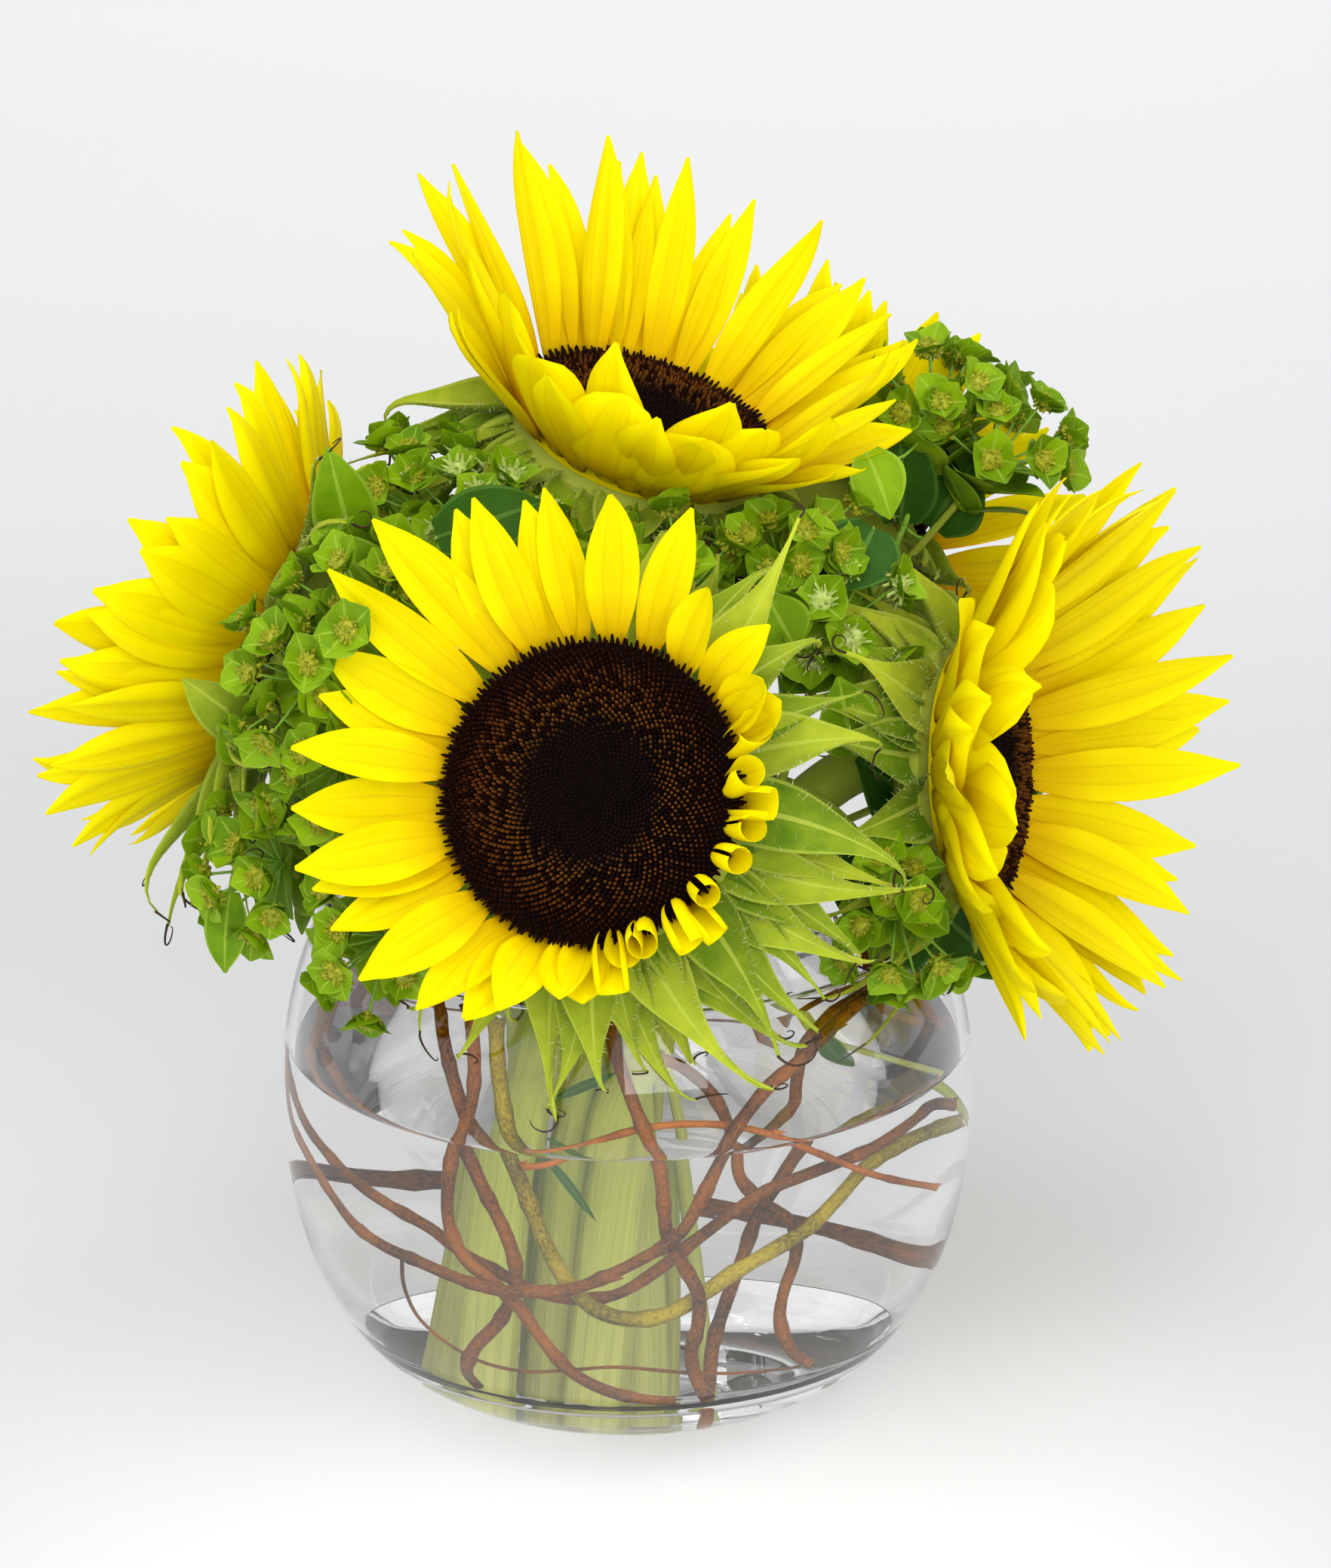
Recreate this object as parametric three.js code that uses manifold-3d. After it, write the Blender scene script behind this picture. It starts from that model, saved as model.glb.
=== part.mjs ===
// Sunflowers in a glass bubble bowl: five cut sunflowers, sprays of bupleurum and
// wound curly willow stand in a clear bowl that is a little over half full of water.
// Millimetres, +Z up. The origin is the centre of the bowl's flat foot.
// The bowl is seen from -Y, with the front bloom nearest the viewer.
import * as THREE from "three";
import { mergeVertices } from "three/addons/utils/BufferGeometryUtils.js";
import Module from "manifold-3d";

const wasm = await Module();
wasm.setup();

// The bowl
const BOWL_RADIUS = 100;
const BOWL_WAIST_Z = 85; // height of the widest ring
const FOOT_RADIUS = 53;
const MOUTH_RADIUS = 87; // outside of the rim
const MOUTH_Z = 139;
const WALL = 3;
const FLOOR = 8;
const FLOOR_RADIUS = 64; // the flat of the floor, inside
const BOWL_SIDES = 32;
const WATER_Z = 100;
const BOWL_RINGS = [20, 46, BOWL_WAIST_Z, 114, MOUTH_Z]; // heights where its wall is drawn
const FOOT_EDGE_Z = 6; // the outside has one more ring, where the foot turns up
const GAP = 0.35; // clearance between pieces that touch

// A sunflower head, in the head's own frame: heights are along its axis from the disc's edge
const STEM_RADIUS = 7.5;
const STEM_SIDES = 7;
const STEM_STEPS = 7;
const STEM_TAPER = 0.1; // what a stem loses of its radius at each step
const PLATE_TOP = -2.2; // the thin plate that the rays grow from
const PLATE_BASE = -5.2;
const HEAD_DEPTH = 27; // from the disc's edge to where the stem starts
const BACK_WIDTH = 0.66; // radius of the green back BACK_HEIGHT above the stem, as a share of the head's
const BACK_HEIGHT = 9;
const NECK = [-9, 5]; // the stem follows the head's axis between these heights from HEAD_DEPTH
const DISC_RINGS = 5;
const DISC_SIDES = 20;
const DISC_INSET = 1.5;
const DISC_EDGE = 0.6;
const DISC_DOME = 4.2;
const DISC_MIDDLE = 1.6;
const FLORET_RELIEF = 0.6;

// The blades of a head. A root lies inset from the head's edge and drop below the plate, and bend is
// the turn from root to tip. outer is what every second blade, one layer further out, adds. spread is
// the width of each trait's random draw: in steps round the head, as shares, and in degrees.
const RAY = {
  count: 26, inset: 0.3, height: PLATE_TOP - 0.8, lean: 5, bend: -5, cupping: 0.22,
  thick: 1.4, rootThick: 1.4, stops: [0, 8, 16, 24], firstDraw: 0,
  outer: { inset: 0, drop: 0.6, lean: 10 },
  spread: { turn: 0.3, length: 0.14, width: 0.2, rise: 4, bend: -22, sweep: 0.12 },
};
const BRACT = {
  count: 16, inset: 0.5, height: PLATE_BASE - 1.8, lean: 0, bend: -18, cupping: 0.2,
  thick: 1.6, rootThick: 4, stops: [0, 9, 17, 24], firstDraw: 300,
  outer: { inset: 1, drop: 1.5, lean: 14 },
  spread: { turn: 0.3, length: 0.24, width: 0.1, rise: 8, bend: -24, sweep: 0.16 },
};
const BLADE_STEPS = 24; // steps along a blade; its stops are the ones where a section is drawn
const BRACT_HALF = 6.2; // half width of a bract
const RAY_HALF = { least: 3.2, perLength: 0.065, most: 7.4 };
const DRAWS_PER_TRAIT = 40;
const SLIVER = 0.1; // clearance between neighbouring blades of one head
const NARROWER = [1, 0.85, 0.7, 0.55]; // widths that a blade with no clear place is tried at

// Willow and bupleurum
const TWIG_STEP = 19; // length of a straight stretch of a twig
const TWIG_SIDES = 5;
const TWIG_KNOTS = [1.06, 0.94]; // a twig is thicker and thinner by turns
const SPRAY_RADIUS = 1.9; // of a spray's main stem, at its foot
const SPRAY_SIDES = 4;
const BRANCH_RADIUS = 1.2;
const BRANCH_FROM = 0.78; // where the branches leave the main stem, as a share of its length
const STALK_SIDES = 5;
const STALK_RADII = [0.7, 0.8];
const UMBELLET_RADIUS = 8.5;
const WHORL_RADII = [14, 10, 6]; // the leafy bracts under an umbel, the largest that fits
const NOTCH = 0.58; // where two pointed bracts meet, as a share of their reach
const TIP_RISE = 0.5; // how far a cup's points stand above its middle
const DOME = 0.3; // height of the florets in a cup, as a share of its radius
const RAY_REACH = 25; // an umbel's longest stalk
const REACH_SPREAD = 5;
const SPREAD = 1.15; // how far an umbel's outer stalks lean from its middle, in radians
const GOLDEN = Math.PI * (3 - Math.sqrt(5)); // the turn from one stalk to the next
const TRIES = 6;
const TRY_TURN = 0.45; // each new try at a place turns a stalk by this many radians
const TRY_SHORTER = 0.08; // and takes this share off its reach
const CUP_OVERLAP = 3; // mm3 that two stalks of an umbel may share where they meet

// centre and axis of each head; up is its twelve o'clock. The eight reaches (mm) and cups (degrees
// above the disc) are those of its rays at every 45 degrees, from twelve o'clock, anticlockwise as
// the head is faced, and so are the eight lengths of its bracts, which lean by lean degrees. foot and
// way lead its stem from the bowl's floor to the head.
const HEADS = [
  {
    name: "front", seed: 1, radius: 41, centre: [-8, -95, 204], axis: [-0.22, -0.88, 0.42], up: [0, 0, 1],
    reach: [39, 50, 38, 40, 22, 20, 17, 26], cup: [20, 20, 22, 30, 46, 50, 50, 38],
    bract: [34, 34, 30, 36, 46, 46, 50, 42], lean: -8,
    foot: [-33, -20], way: [[-25, -27, 100], [-9, -42, 155]],
  },
  {
    name: "top", seed: 2, radius: 38, centre: [5, 15, 275], axis: [0.28, -0.22, 0.93], up: [0, 1, 0],
    reach: [62, 66, 58, 50, 50, 44, 44, 54], cup: [52, 56, 50, 54, 56, 50, 50, 44],
    bract: [30, 32, 38, 34, 28, 28, 28, 28], lean: -18,
    foot: [-16, -5], way: [[-10, -9, 100], [-9, 12, 190]],
  },
  {
    name: "right", seed: 3, radius: 38, centre: [99, -22, 187], axis: [0.93, -0.34, 0.115], up: [0, 0, 1],
    reach: [60, 58, 58, 58, 52, 62, 68, 66], cup: [48, 33, 34, 42, 46, 50, 54, 50],
    bract: [30, 30, 30, 30, 32, 30, 30, 30], lean: -16,
    foot: [-8, -20], way: [[5, -22, 100], [38, -9, 158]],
  },
  {
    name: "left", seed: 4, radius: 37, centre: [-98, 10, 214], axis: [-0.88, 0.25, 0.28], up: [0, 0, 1],
    reach: [48, 48, 48, 48, 50, 53, 52, 48], cup: [38, 36, 34, 36, 44, 54, 56, 36],
    bract: [28, 28, 28, 34, 48, 48, 34, 28], lean: 0,
    foot: [-34, -3], way: [[-28, -9, 100], [-48, -4, 160]],
  },
  {
    name: "back", seed: 5, radius: 37, centre: [58, 92, 222], axis: [0.45, 0.8, 0.4], up: [0, 0, 1],
    reach: [50, 50, 50, 50, 50, 50, 50, 50], cup: [36, 36, 34, 32, 30, 32, 34, 36],
    bract: [28, 28, 28, 28, 28, 28, 28, 28], lean: -16,
    foot: [1, -3], way: [[0, 7, 100], [10, 40, 162]],
  },
];

// Wound twigs of curly willow: a radius and a route inside the bowl, from the upper or left end.
const TWIGS = [
  { radius: 1.8, route: [[-52, -47, 128], [-49, -57, 116], [-45, -64, 104], [-38, -70, 87], [-30, -74, 70],
      [-28, -73, 59], [-32, -68, 45], [-39, -62, 34], [-42, -64, 27], [-40, -70, 23]] },
  { radius: 1.8, route: [[-43, -62, 132], [-41, -68, 123], [-41, -72, 110], [-44, -73, 98], [-46, -74, 87],
      [-46, -73, 74], [-42, -73, 64], [-34, -77, 58], [-28, -78, 52], [-22, -80, 43], [-14, -81, 33],
      [-4, -81, 27], [6, -80, 24], [13, -79, 23]] },
  { radius: 2.1, route: [[-35, -66, 129], [-34, -72, 115], [-31, -77, 99], [-26, -79, 86], [-21, -79, 72],
      [-15, -79, 60], [-8, -78, 52], [0, -78, 49], [10, -78, 50], [19, -77, 55], [28, -75, 61],
      [38, -72, 66], [47, -66, 70], [55, -62, 77], [62, -55, 83], [70, -47, 85], [80, -37, 85],
      [89, -22, 81]] },
  { radius: 1.6, route: [[-86, 8, 106], [-88, -5, 95], [-83, -20, 83], [-75, -36, 77], [-66, -48, 73],
      [-59, -55, 71], [-49, -59, 67], [-42, -61, 62], [-32, -66, 58], [-23, -69, 54], [-15, -72, 53],
      [-3, -75, 55], [8, -78, 63], [18, -79, 72], [35, -77, 84], [50, -71, 88], [65, -61, 90],
      [75, -49, 92], [81, -39, 93], [88, -28, 88]] },
  { radius: 1.7, route: [[-87, -6, 108], [-91, -12, 94], [-90, -20, 82], [-84, -34, 75], [-78, -46, 69],
      [-72, -54, 64], [-64, -64, 62], [-55, -71, 61], [-44, -78, 59], [-34, -83, 58], [-24, -86, 59],
      [-14, -89, 61], [-4, -91, 66], [5, -91, 71], [14, -90, 77], [20, -89, 87], [27, -86, 101],
      [33, -82, 109], [39, -78, 115], [46, -73, 119], [52, -67, 123], [60, -57, 127], [69, -45, 129]] },
  { radius: 1.8, route: [[0, -82, 118], [5, -85, 105], [9, -86, 95], [10, -86, 85], [11, -86, 76],
      [15, -85, 67], [19, -82, 57], [19, -81, 48], [17, -78, 38], [19, -74, 28], [22, -77, 23]] },
  { radius: 1.6, route: [[7, -68, 120], [15, -68, 116], [23, -69, 109], [28, -70, 99], [29, -71, 87],
      [35, -69, 79], [42, -64, 71], [43, -62, 61], [40, -62, 51], [39, -61, 42], [43, -63, 33],
      [50, -64, 27]] },
  { radius: 1.7, route: [[68, -33, 124], [56, -47, 121], [49, -52, 115], [47, -53, 106], [46, -52, 94],
      [40, -58, 84], [33, -61, 73], [29, -63, 61], [25, -64, 49], [22, -65, 38], [21, -62, 24],
      [20, -57, 9.2]] },
  { radius: 1.7, route: [[-80, 22, 114], [-82, 32, 92], [-75, 45, 66], [-62, 57, 48], [-43, 70, 38],
      [-24, 78, 34], [-4, 80, 31], [16, 78, 28], [32, 71, 25], [46, 61, 20]] },
  { radius: 2.1, route: [[66, 14, 132], [71, 16, 112], [77, 22, 90], [87, 31, 72]] },
  { radius: 1.7, route: [[46, 6, 90], [56, 2, 107], [68, 0, 114], [79, 1, 113], [87, 4, 104], [93, 11, 90]] },
  { radius: 0.9, route: [[-27, -83, 94], [-20, -83, 95], [-8, -82, 100], [8, -81, 104], [27, -80, 104],
      [40, -80, 101], [51, -77, 95], [66, -66, 84], [84, -41, 69]] },
];

// Sprays of bupleurum. A stem leads from its foot in the bowl through the mouth to its first umbel;
// the others branch from it. An umbel is [x, y, z] of its fork, the way that it faces, and its
// number of umbellets.
const SPRAYS = [
  { name: "back_right", foot: [8, 12, 9], way: [[16, 4, 125], [64, 42, 205]],
    umbels: [[[104, 44, 256], [0.4, 0, 0.9], 6], [[88, 46, 268], [0, 0.1, 1], 5]] },
  { name: "middle", foot: [92, -14, 77], way: [[62, -13, 98], [42, -18, 116], [36, -26, 142], [40, -26, 172]],
    umbels: [[[58, -22, 228], [0.25, -0.7, 0.7], 4], [[42, -20, 246], [0.1, -0.5, 0.85], 4],
      [[16, -36, 240], [-0.2, -0.6, 0.75], 4]] },
  { name: "left_top", foot: [-28, 14, 9], way: [[-28, 12, 125], [-50, 20, 200]],
    umbels: [[[-56, 6, 252], [-0.4, -0.2, 0.9], 4], [[-40, -12, 250], [-0.1, -0.6, 0.8], 4],
      [[-26, -26, 236], [0, -0.7, 0.6], 3]] },
  { name: "left", foot: [-20, 9, 9], way: [[-22, 10, 125], [-34, -5, 168], [-64, -44, 190]],
    umbels: [[[-84, -54, 222], [-0.5, -0.7, 0.5], 5], [[-66, -52, 236], [-0.1, -0.6, 0.8], 4],
      [[-76, -58, 200], [-0.4, -0.8, 0.1], 4]] },
  { name: "low_left", foot: [-38, 15, 9],
    way: [[-32, 20, 100], [-47, 8, 136], [-62, -6, 146], [-80, -36, 152]],
    umbels: [[[-94, -48, 168], [-0.75, -0.6, 0.1], 5], [[-64, -72, 156], [-0.2, -0.9, 0.1], 4]] },
  { name: "low_right", foot: [16, 5, 9], way: [[10, -3, 125], [20, 0, 160], [38, -12, 180], [60, -40, 178]],
    umbels: [[[74, -54, 158], [0.5, -0.8, -0.1], 5]] },
  { name: "back_middle", foot: [-14, 22, 9], way: [[-14, 26, 125], [-12, 66, 190]],
    umbels: [[[-12, 76, 228], [-0.1, 0.7, 0.7], 5], [[0, 86, 180], [0.2, 0.95, 0.1], 4]] },
  { name: "back_left", foot: [-26, 24, 9], way: [[-28, 28, 125], [-60, 60, 180]],
    umbels: [[[-66, 66, 214], [-0.4, 0.6, 0.7], 4], [[-66, 72, 172], [-0.6, 0.8, 0], 4]] },
  { name: "far_right", foot: [2, 16, 9], way: [[16, 14, 100], [44, 26, 142], [80, 44, 156]],
    umbels: [[[98, 48, 168], [0.8, 0.6, 0.1], 5]] },
];

// A repeatable draw between 0 and 1.
function draw(seed, k) {
  const x = Math.sin(seed * 127.1 + k * 311.7) * 43758.5453;
  return x - Math.floor(x);
}

const vec = (p) => new THREE.Vector3(...p);
const radians = THREE.MathUtils.degToRad;

// A geometry of flat coordinates and the triangles between them.
function shell(positions, index) {
  const geometry = new THREE.BufferGeometry();
  geometry.setAttribute("position", new THREE.Float32BufferAttribute(positions, 3));
  geometry.setIndex(index);
  return geometry;
}

// A closed geometry through rings of points. A ring of one point is an apex; other ends are capped.
function loft(rings) {
  const positions = [];
  const index = [];
  const starts = rings.map((ring) => {
    const start = positions.length / 3;
    ring.forEach((p) => positions.push(p.x, p.y, p.z));
    return start;
  });
  for (let r = 0; r + 1 < rings.length; r++) {
    const [a, b] = [starts[r], starts[r + 1]];
    const [na, nb] = [rings[r].length, rings[r + 1].length];
    const n = Math.max(na, nb);
    for (let j = 0; j < n; j++) {
      const k = (j + 1) % n;
      if (nb === 1) index.push(a + j, a + k, b);
      else if (na === 1) index.push(a, b + k, b + j);
      else index.push(a + j, a + k, b + k, a + j, b + k, b + j);
    }
  }
  const cap = (start, n, flip) => {
    for (let j = 1; j + 1 < n; j++) {
      index.push(start, ...(flip ? [start + j + 1, start + j] : [start + j, start + j + 1]));
    }
  };
  cap(starts[0], rings[0].length, true);
  cap(starts.at(-1), rings.at(-1).length, false);
  return shell(positions, index);
}

// A closed geometry as a solid that can be cut and joined. Its faces are turned to point outwards.
function solid(geometry) {
  const bare = geometry.clone();
  bare.deleteAttribute("normal");
  bare.deleteAttribute("uv");
  const merged = mergeVertices(bare, 1e-4);
  const vertProperties = new Float32Array(merged.attributes.position.array);
  const triVerts = new Uint32Array(merged.index.array);
  const made = new wasm.Manifold(new wasm.Mesh({ numProp: 3, vertProperties, triVerts }));
  if (made.volume() > 0) return made;
  for (let i = 0; i < triVerts.length; i += 3) {
    [triVerts[i + 1], triVerts[i + 2]] = [triVerts[i + 2], triVerts[i + 1]];
  }
  return new wasm.Manifold(new wasm.Mesh({ numProp: 3, vertProperties, triVerts }));
}

function geometryOf(made) {
  const mesh = made.getMesh();
  const geometry = new THREE.BufferGeometry();
  geometry.setAttribute("position", new THREE.Float32BufferAttribute(mesh.vertProperties, 3));
  geometry.setIndex(new THREE.BufferAttribute(mesh.triVerts, 1));
  geometry.computeVertexNormals();
  return geometry;
}

const join = (solids) => wasm.Manifold.union(solids);

const colour = (hex, roughness, extra = {}) =>
  new THREE.MeshStandardMaterial({ color: hex, roughness, metalness: 0, ...extra });
const MATERIAL = {
  glass: colour(0xe8f1f0, 0.03, { transparent: true, opacity: 0.25 }),
  water: colour(0xdfeaea, 0.02, { transparent: true, opacity: 0.3 }),
  ray: colour(0xf7dd05, 0.5),
  disc: colour(0x2a120a, 0.85),
  calyx: colour(0x8fae3c, 0.65),
  willow: colour(0x7c4a1e, 0.6),
  bupleurum: colour(0x5c9a2f, 0.55),
};

const part = new THREE.Group();
const placed = [];

function addNode(name, made, material) {
  const mesh = new THREE.Mesh(geometryOf(made), material);
  mesh.name = name;
  part.add(mesh);
  placed.push(made);
}

// True where a solid keeps the gap from every piece that is placed so far.
const isClear = (made) => placed.every((other) => made.minGap(other, 2 * GAP) >= GAP);

// A tube of n sides along points, with a radius at each of them. An upright one stands on a level foot.
function tube(points, radii, n, upright = false) {
  let side = null;
  const rings = points.map((p, i) => {
    const ahead = points[Math.min(i + 1, points.length - 1)];
    const behind = points[Math.max(i - 1, 0)];
    const along = upright && i === 0 ? vec([0, 0, 1]) : ahead.clone().sub(behind).normalize();
    side ??= Math.abs(along.x) < 0.8 ? vec([1, 0, 0]) : vec([0, 1, 0]);
    side = side.clone().addScaledVector(along, -side.dot(along)).normalize();
    const other = along.clone().cross(side);
    const ring = [];
    for (let j = 0; j < n; j++) {
      const t = (2 * Math.PI * j) / n;
      const out = side.clone().multiplyScalar(Math.cos(t)).addScaledVector(other, Math.sin(t));
      ring.push(p.clone().addScaledVector(out, radii[i]));
    }
    return ring;
  });
  return loft(rings);
}

const curve = (points) => new THREE.CatmullRomCurve3(points.map(vec), false, "centripetal");

// The hole that a tube leaves in the water: the same tube, wider and longer by the gap.
const holes = [];

function standInWater(points, radii, n, upright = false) {
  const grown = points.map((p) => p.clone());
  const away = (p, from) => p.clone().sub(from).normalize();
  grown[0].addScaledVector(away(points[0], points[1]), 2 * GAP);
  grown.at(-1).addScaledVector(away(points.at(-1), points.at(-2)), 2 * GAP);
  const wider = radii.map((r) => r + GAP / Math.cos(Math.PI / n));
  holes.push(solid(tube(grown, wider, n, upright)));
}

// The three points of a blade's section: its two edges and the keel under its middle. stations give
// its middle, its side and face directions, its half width, the lift of its edges and its thickness.
const bladeRings = (stations) =>
  stations.map(({ at, side, face, half, lift, thick }) =>
    half === 0
      ? [at]
      : [
          at.clone().addScaledVector(side, half).addScaledVector(face, lift),
          at.clone().addScaledVector(side, -half).addScaledVector(face, lift),
          at.clone().addScaledVector(face, -thick),
        ],
  );

// Blades round a head, grown from one body in a single skin: a cap joins their upper edges, webs join
// them to their neighbours, and rings below lead down from their keels to the body's base.
function crown(blades, top, below, base) {
  const n = blades.length;
  const positions = [];
  const index = [];
  const add = (p) => positions.push(...p.toArray()) / 3 - 1;
  const starts = blades.map((rings) => {
    const first = positions.length / 3;
    rings.flat().forEach(add);
    for (let r = 0; r + 1 < rings.length; r++) {
      const [a, b] = [first + 3 * r, first + 3 * r + 3];
      for (let j = 0; j < 3; j++) {
        const k = (j + 1) % 3;
        if (rings[r + 1].length === 1) index.push(a + j, b, a + k);
        else index.push(a + j, b + k, a + k, a + j, b + j, b + k);
      }
    }
    return first;
  });
  const middle = add(top);
  const lower = below.map((ring) => ring.map(add));
  const bottom = add(base);
  for (let i = 0; i < n; i++) {
    const k = (i + 1) % n;
    const [left, right, keel] = [starts[i], starts[i] + 1, starts[i] + 2];
    index.push(middle, left, right, middle, starts[k] + 1, left);
    index.push(left, starts[k] + 1, starts[k] + 2, left, starts[k] + 2, keel);
    let [here, next] = [keel, starts[k] + 2];
    for (const ring of lower) {
      index.push(here, next, ring[k], here, ring[k], ring[i]);
      [here, next] = [ring[i], ring[k]];
    }
    index.push(here, next, bottom);
  }
  return solid(shell(positions, index));
}

// The half width of a ray and of a bract, as a share of the greatest, at a share s of the length.
function rayWidth(s) {
  const widest = 0.52;
  const root = 0.42;
  if (s < widest) return root + (1 - root) * Math.sin(((s / widest) * Math.PI) / 2);
  const past = (s - widest) / (1 - widest);
  return Math.max(0, 1 - past * past) ** 0.9;
}

function bractWidth(s) {
  return (1 - s) ** 1.6 * (1 + 2.2 * s);
}

// A head's frame: the place of a point given by its angle from twelve o'clock, radius and height.
function headFrame(head) {
  const axis = vec(head.axis).normalize();
  const up = vec(head.up);
  const noon = up.clone().addScaledVector(axis, -up.dot(axis)).normalize();
  const nine = axis.clone().cross(noon);
  const out = (angle) =>
    noon.clone().multiplyScalar(Math.cos(angle)).addScaledVector(nine, Math.sin(angle));
  const point = (angle, radius, height) =>
    vec(head.centre).addScaledVector(out(angle), radius).addScaledVector(axis, height);
  return { axis, out, point };
}

// A value read from eight that stand at every 45 degrees round a head.
function around(values, angle) {
  const turn = (angle / (2 * Math.PI) + 1) % 1;
  const k = Math.floor(turn * 8);
  const t = turn * 8 - k;
  const ease = t * t * (3 - 2 * t);
  return values[k % 8] * (1 - ease) + values[(k + 1) % 8] * ease;
}

// The stations of a blade that leaves a head at an angle, leans by rise degrees above the disc,
// turns by bend degrees on its way and drifts sideways by sweep.
function headBlade(frame, shape) {
  const out = frame.out(shape.angle);
  const side = frame.out(shape.angle + Math.PI / 2);
  const at = frame.point(shape.angle, shape.root, shape.height);
  const stations = [];
  for (let i = 0; i <= BLADE_STEPS; i++) {
    const s = i / BLADE_STEPS;
    const turn = radians(shape.rise + shape.bend * s);
    if (shape.kind.stops.includes(i)) {
      const half = i === BLADE_STEPS ? 0 : shape.half * shape.width(s);
      stations.push({
        at: at.clone().addScaledVector(side, shape.sweep * shape.length * s * s),
        side,
        face: frame.axis.clone().multiplyScalar(Math.cos(turn)).addScaledVector(out, -Math.sin(turn)),
        half,
        lift: shape.kind.cupping * half,
        thick: i === 0 ? shape.kind.rootThick : shape.kind.thick,
      });
    }
    at.addScaledVector(out, (Math.cos(turn) * shape.length) / BLADE_STEPS);
    at.addScaledVector(frame.axis, (Math.sin(turn) * shape.length) / BLADE_STEPS);
  }
  return stations;
}

// The blades of one kind round a head, in two layers by turns. reachAt and riseAt give the length and
// the angle above the disc for a place round the head, halfOf the half width for a length.
function bladeShapes(head, kind, { reachAt, riseAt, halfOf, width }) {
  const traits = Object.keys(kind.spread);
  return Array.from({ length: kind.count }, (_, i) => {
    const outer = i % 2;
    const vary = (trait) => {
      const k = kind.firstDraw + DRAWS_PER_TRAIT * traits.indexOf(trait) + i;
      return kind.spread[trait] * (draw(head.seed, k) - 0.5);
    };
    const angle = (2 * Math.PI * (i + vary("turn"))) / kind.count;
    const length = reachAt(angle) * (1 + vary("length"));
    return {
      kind,
      width,
      angle,
      length,
      root: head.radius - kind.inset - kind.outer.inset * outer,
      height: kind.height - kind.outer.drop * outer,
      half: halfOf(length) * (1 + vary("width")),
      rise: riseAt(angle) + kind.lean - kind.outer.lean * outer + vary("rise"),
      bend: kind.bend + vary("bend"),
      sweep: vary("sweep"),
    };
  });
}

function rayShapes(head) {
  return bladeShapes(head, RAY, {
    reachAt: (angle) => around(head.reach, angle),
    riseAt: (angle) => around(head.cup, angle),
    halfOf: (length) => Math.min(RAY_HALF.most, RAY_HALF.least + RAY_HALF.perLength * length),
    width: rayWidth,
  });
}

function bractShapes(head) {
  return bladeShapes(head, BRACT, {
    reachAt: (angle) => around(head.bract, angle),
    riseAt: () => head.lean,
    halfOf: () => BRACT_HALF,
    width: bractWidth,
  });
}

// Blades that touch neither another piece nor each other: each is bent by the first of bends that is
// clear, then narrowed, and one with no clear place is left out.
function fitBlades(frame, shapes, bends) {
  const fitted = [];
  for (const shape of shapes) {
    for (const narrow of NARROWER) {
      const tries = bends.map((bent) => {
        const tried = { ...shape, rise: shape.rise + bent, half: shape.half * narrow };
        const rings = bladeRings(headBlade(frame, tried));
        return { rings, made: solid(loft(rings)) };
      });
      const found = tries.find(
        ({ made }) => isClear(made) && fitted.every((one) => one.made.minGap(made, 2 * SLIVER) >= SLIVER),
      );
      if (found) {
        fitted.push(found);
        break;
      }
    }
  }
  return fitted.map(({ rings }) => rings);
}

// The ray florets of one head, round the thin plate that they grow from.
function makeRays(head) {
  const frame = headFrame(head);
  const blades = fitBlades(frame, rayShapes(head), [0, 4, -4]);
  const rays = crown(blades, frame.point(0, 0, PLATE_TOP), [], frame.point(0, 0, PLATE_BASE));
  addNode(head.name + "_ray_florets", rays, MATERIAL.ray);
}

// The dark disc: a low dome with a hollow middle, whose florets stand in rows that wind inwards.
function makeDisc(head) {
  const frame = headFrame(head);
  const base = PLATE_TOP + GAP;
  const ringAt = (share, height, relief, twist) =>
    Array.from({ length: DISC_SIDES }, (_, j) =>
      frame.point(
        (2 * Math.PI * (j + twist)) / DISC_SIDES,
        (head.radius - DISC_INSET) * share,
        height + (j % 2 ? relief : -relief),
      ),
    );
  const rings = [[frame.point(0, 0, base)], ringAt(1, base, 0, 0)];
  for (let k = 0; k < DISC_RINGS; k++) {
    const share = 1 - k / DISC_RINGS;
    const dome = DISC_EDGE + DISC_DOME * Math.sin(Math.PI * Math.min(1, 1.12 - share));
    rings.push(ringAt(share, dome, FLORET_RELIEF * share, k / 2));
  }
  rings.push([frame.point(0, 0, DISC_MIDDLE)]);
  addNode(head.name + "_disc", solid(loft(rings)), MATERIAL.disc);
}

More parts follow.
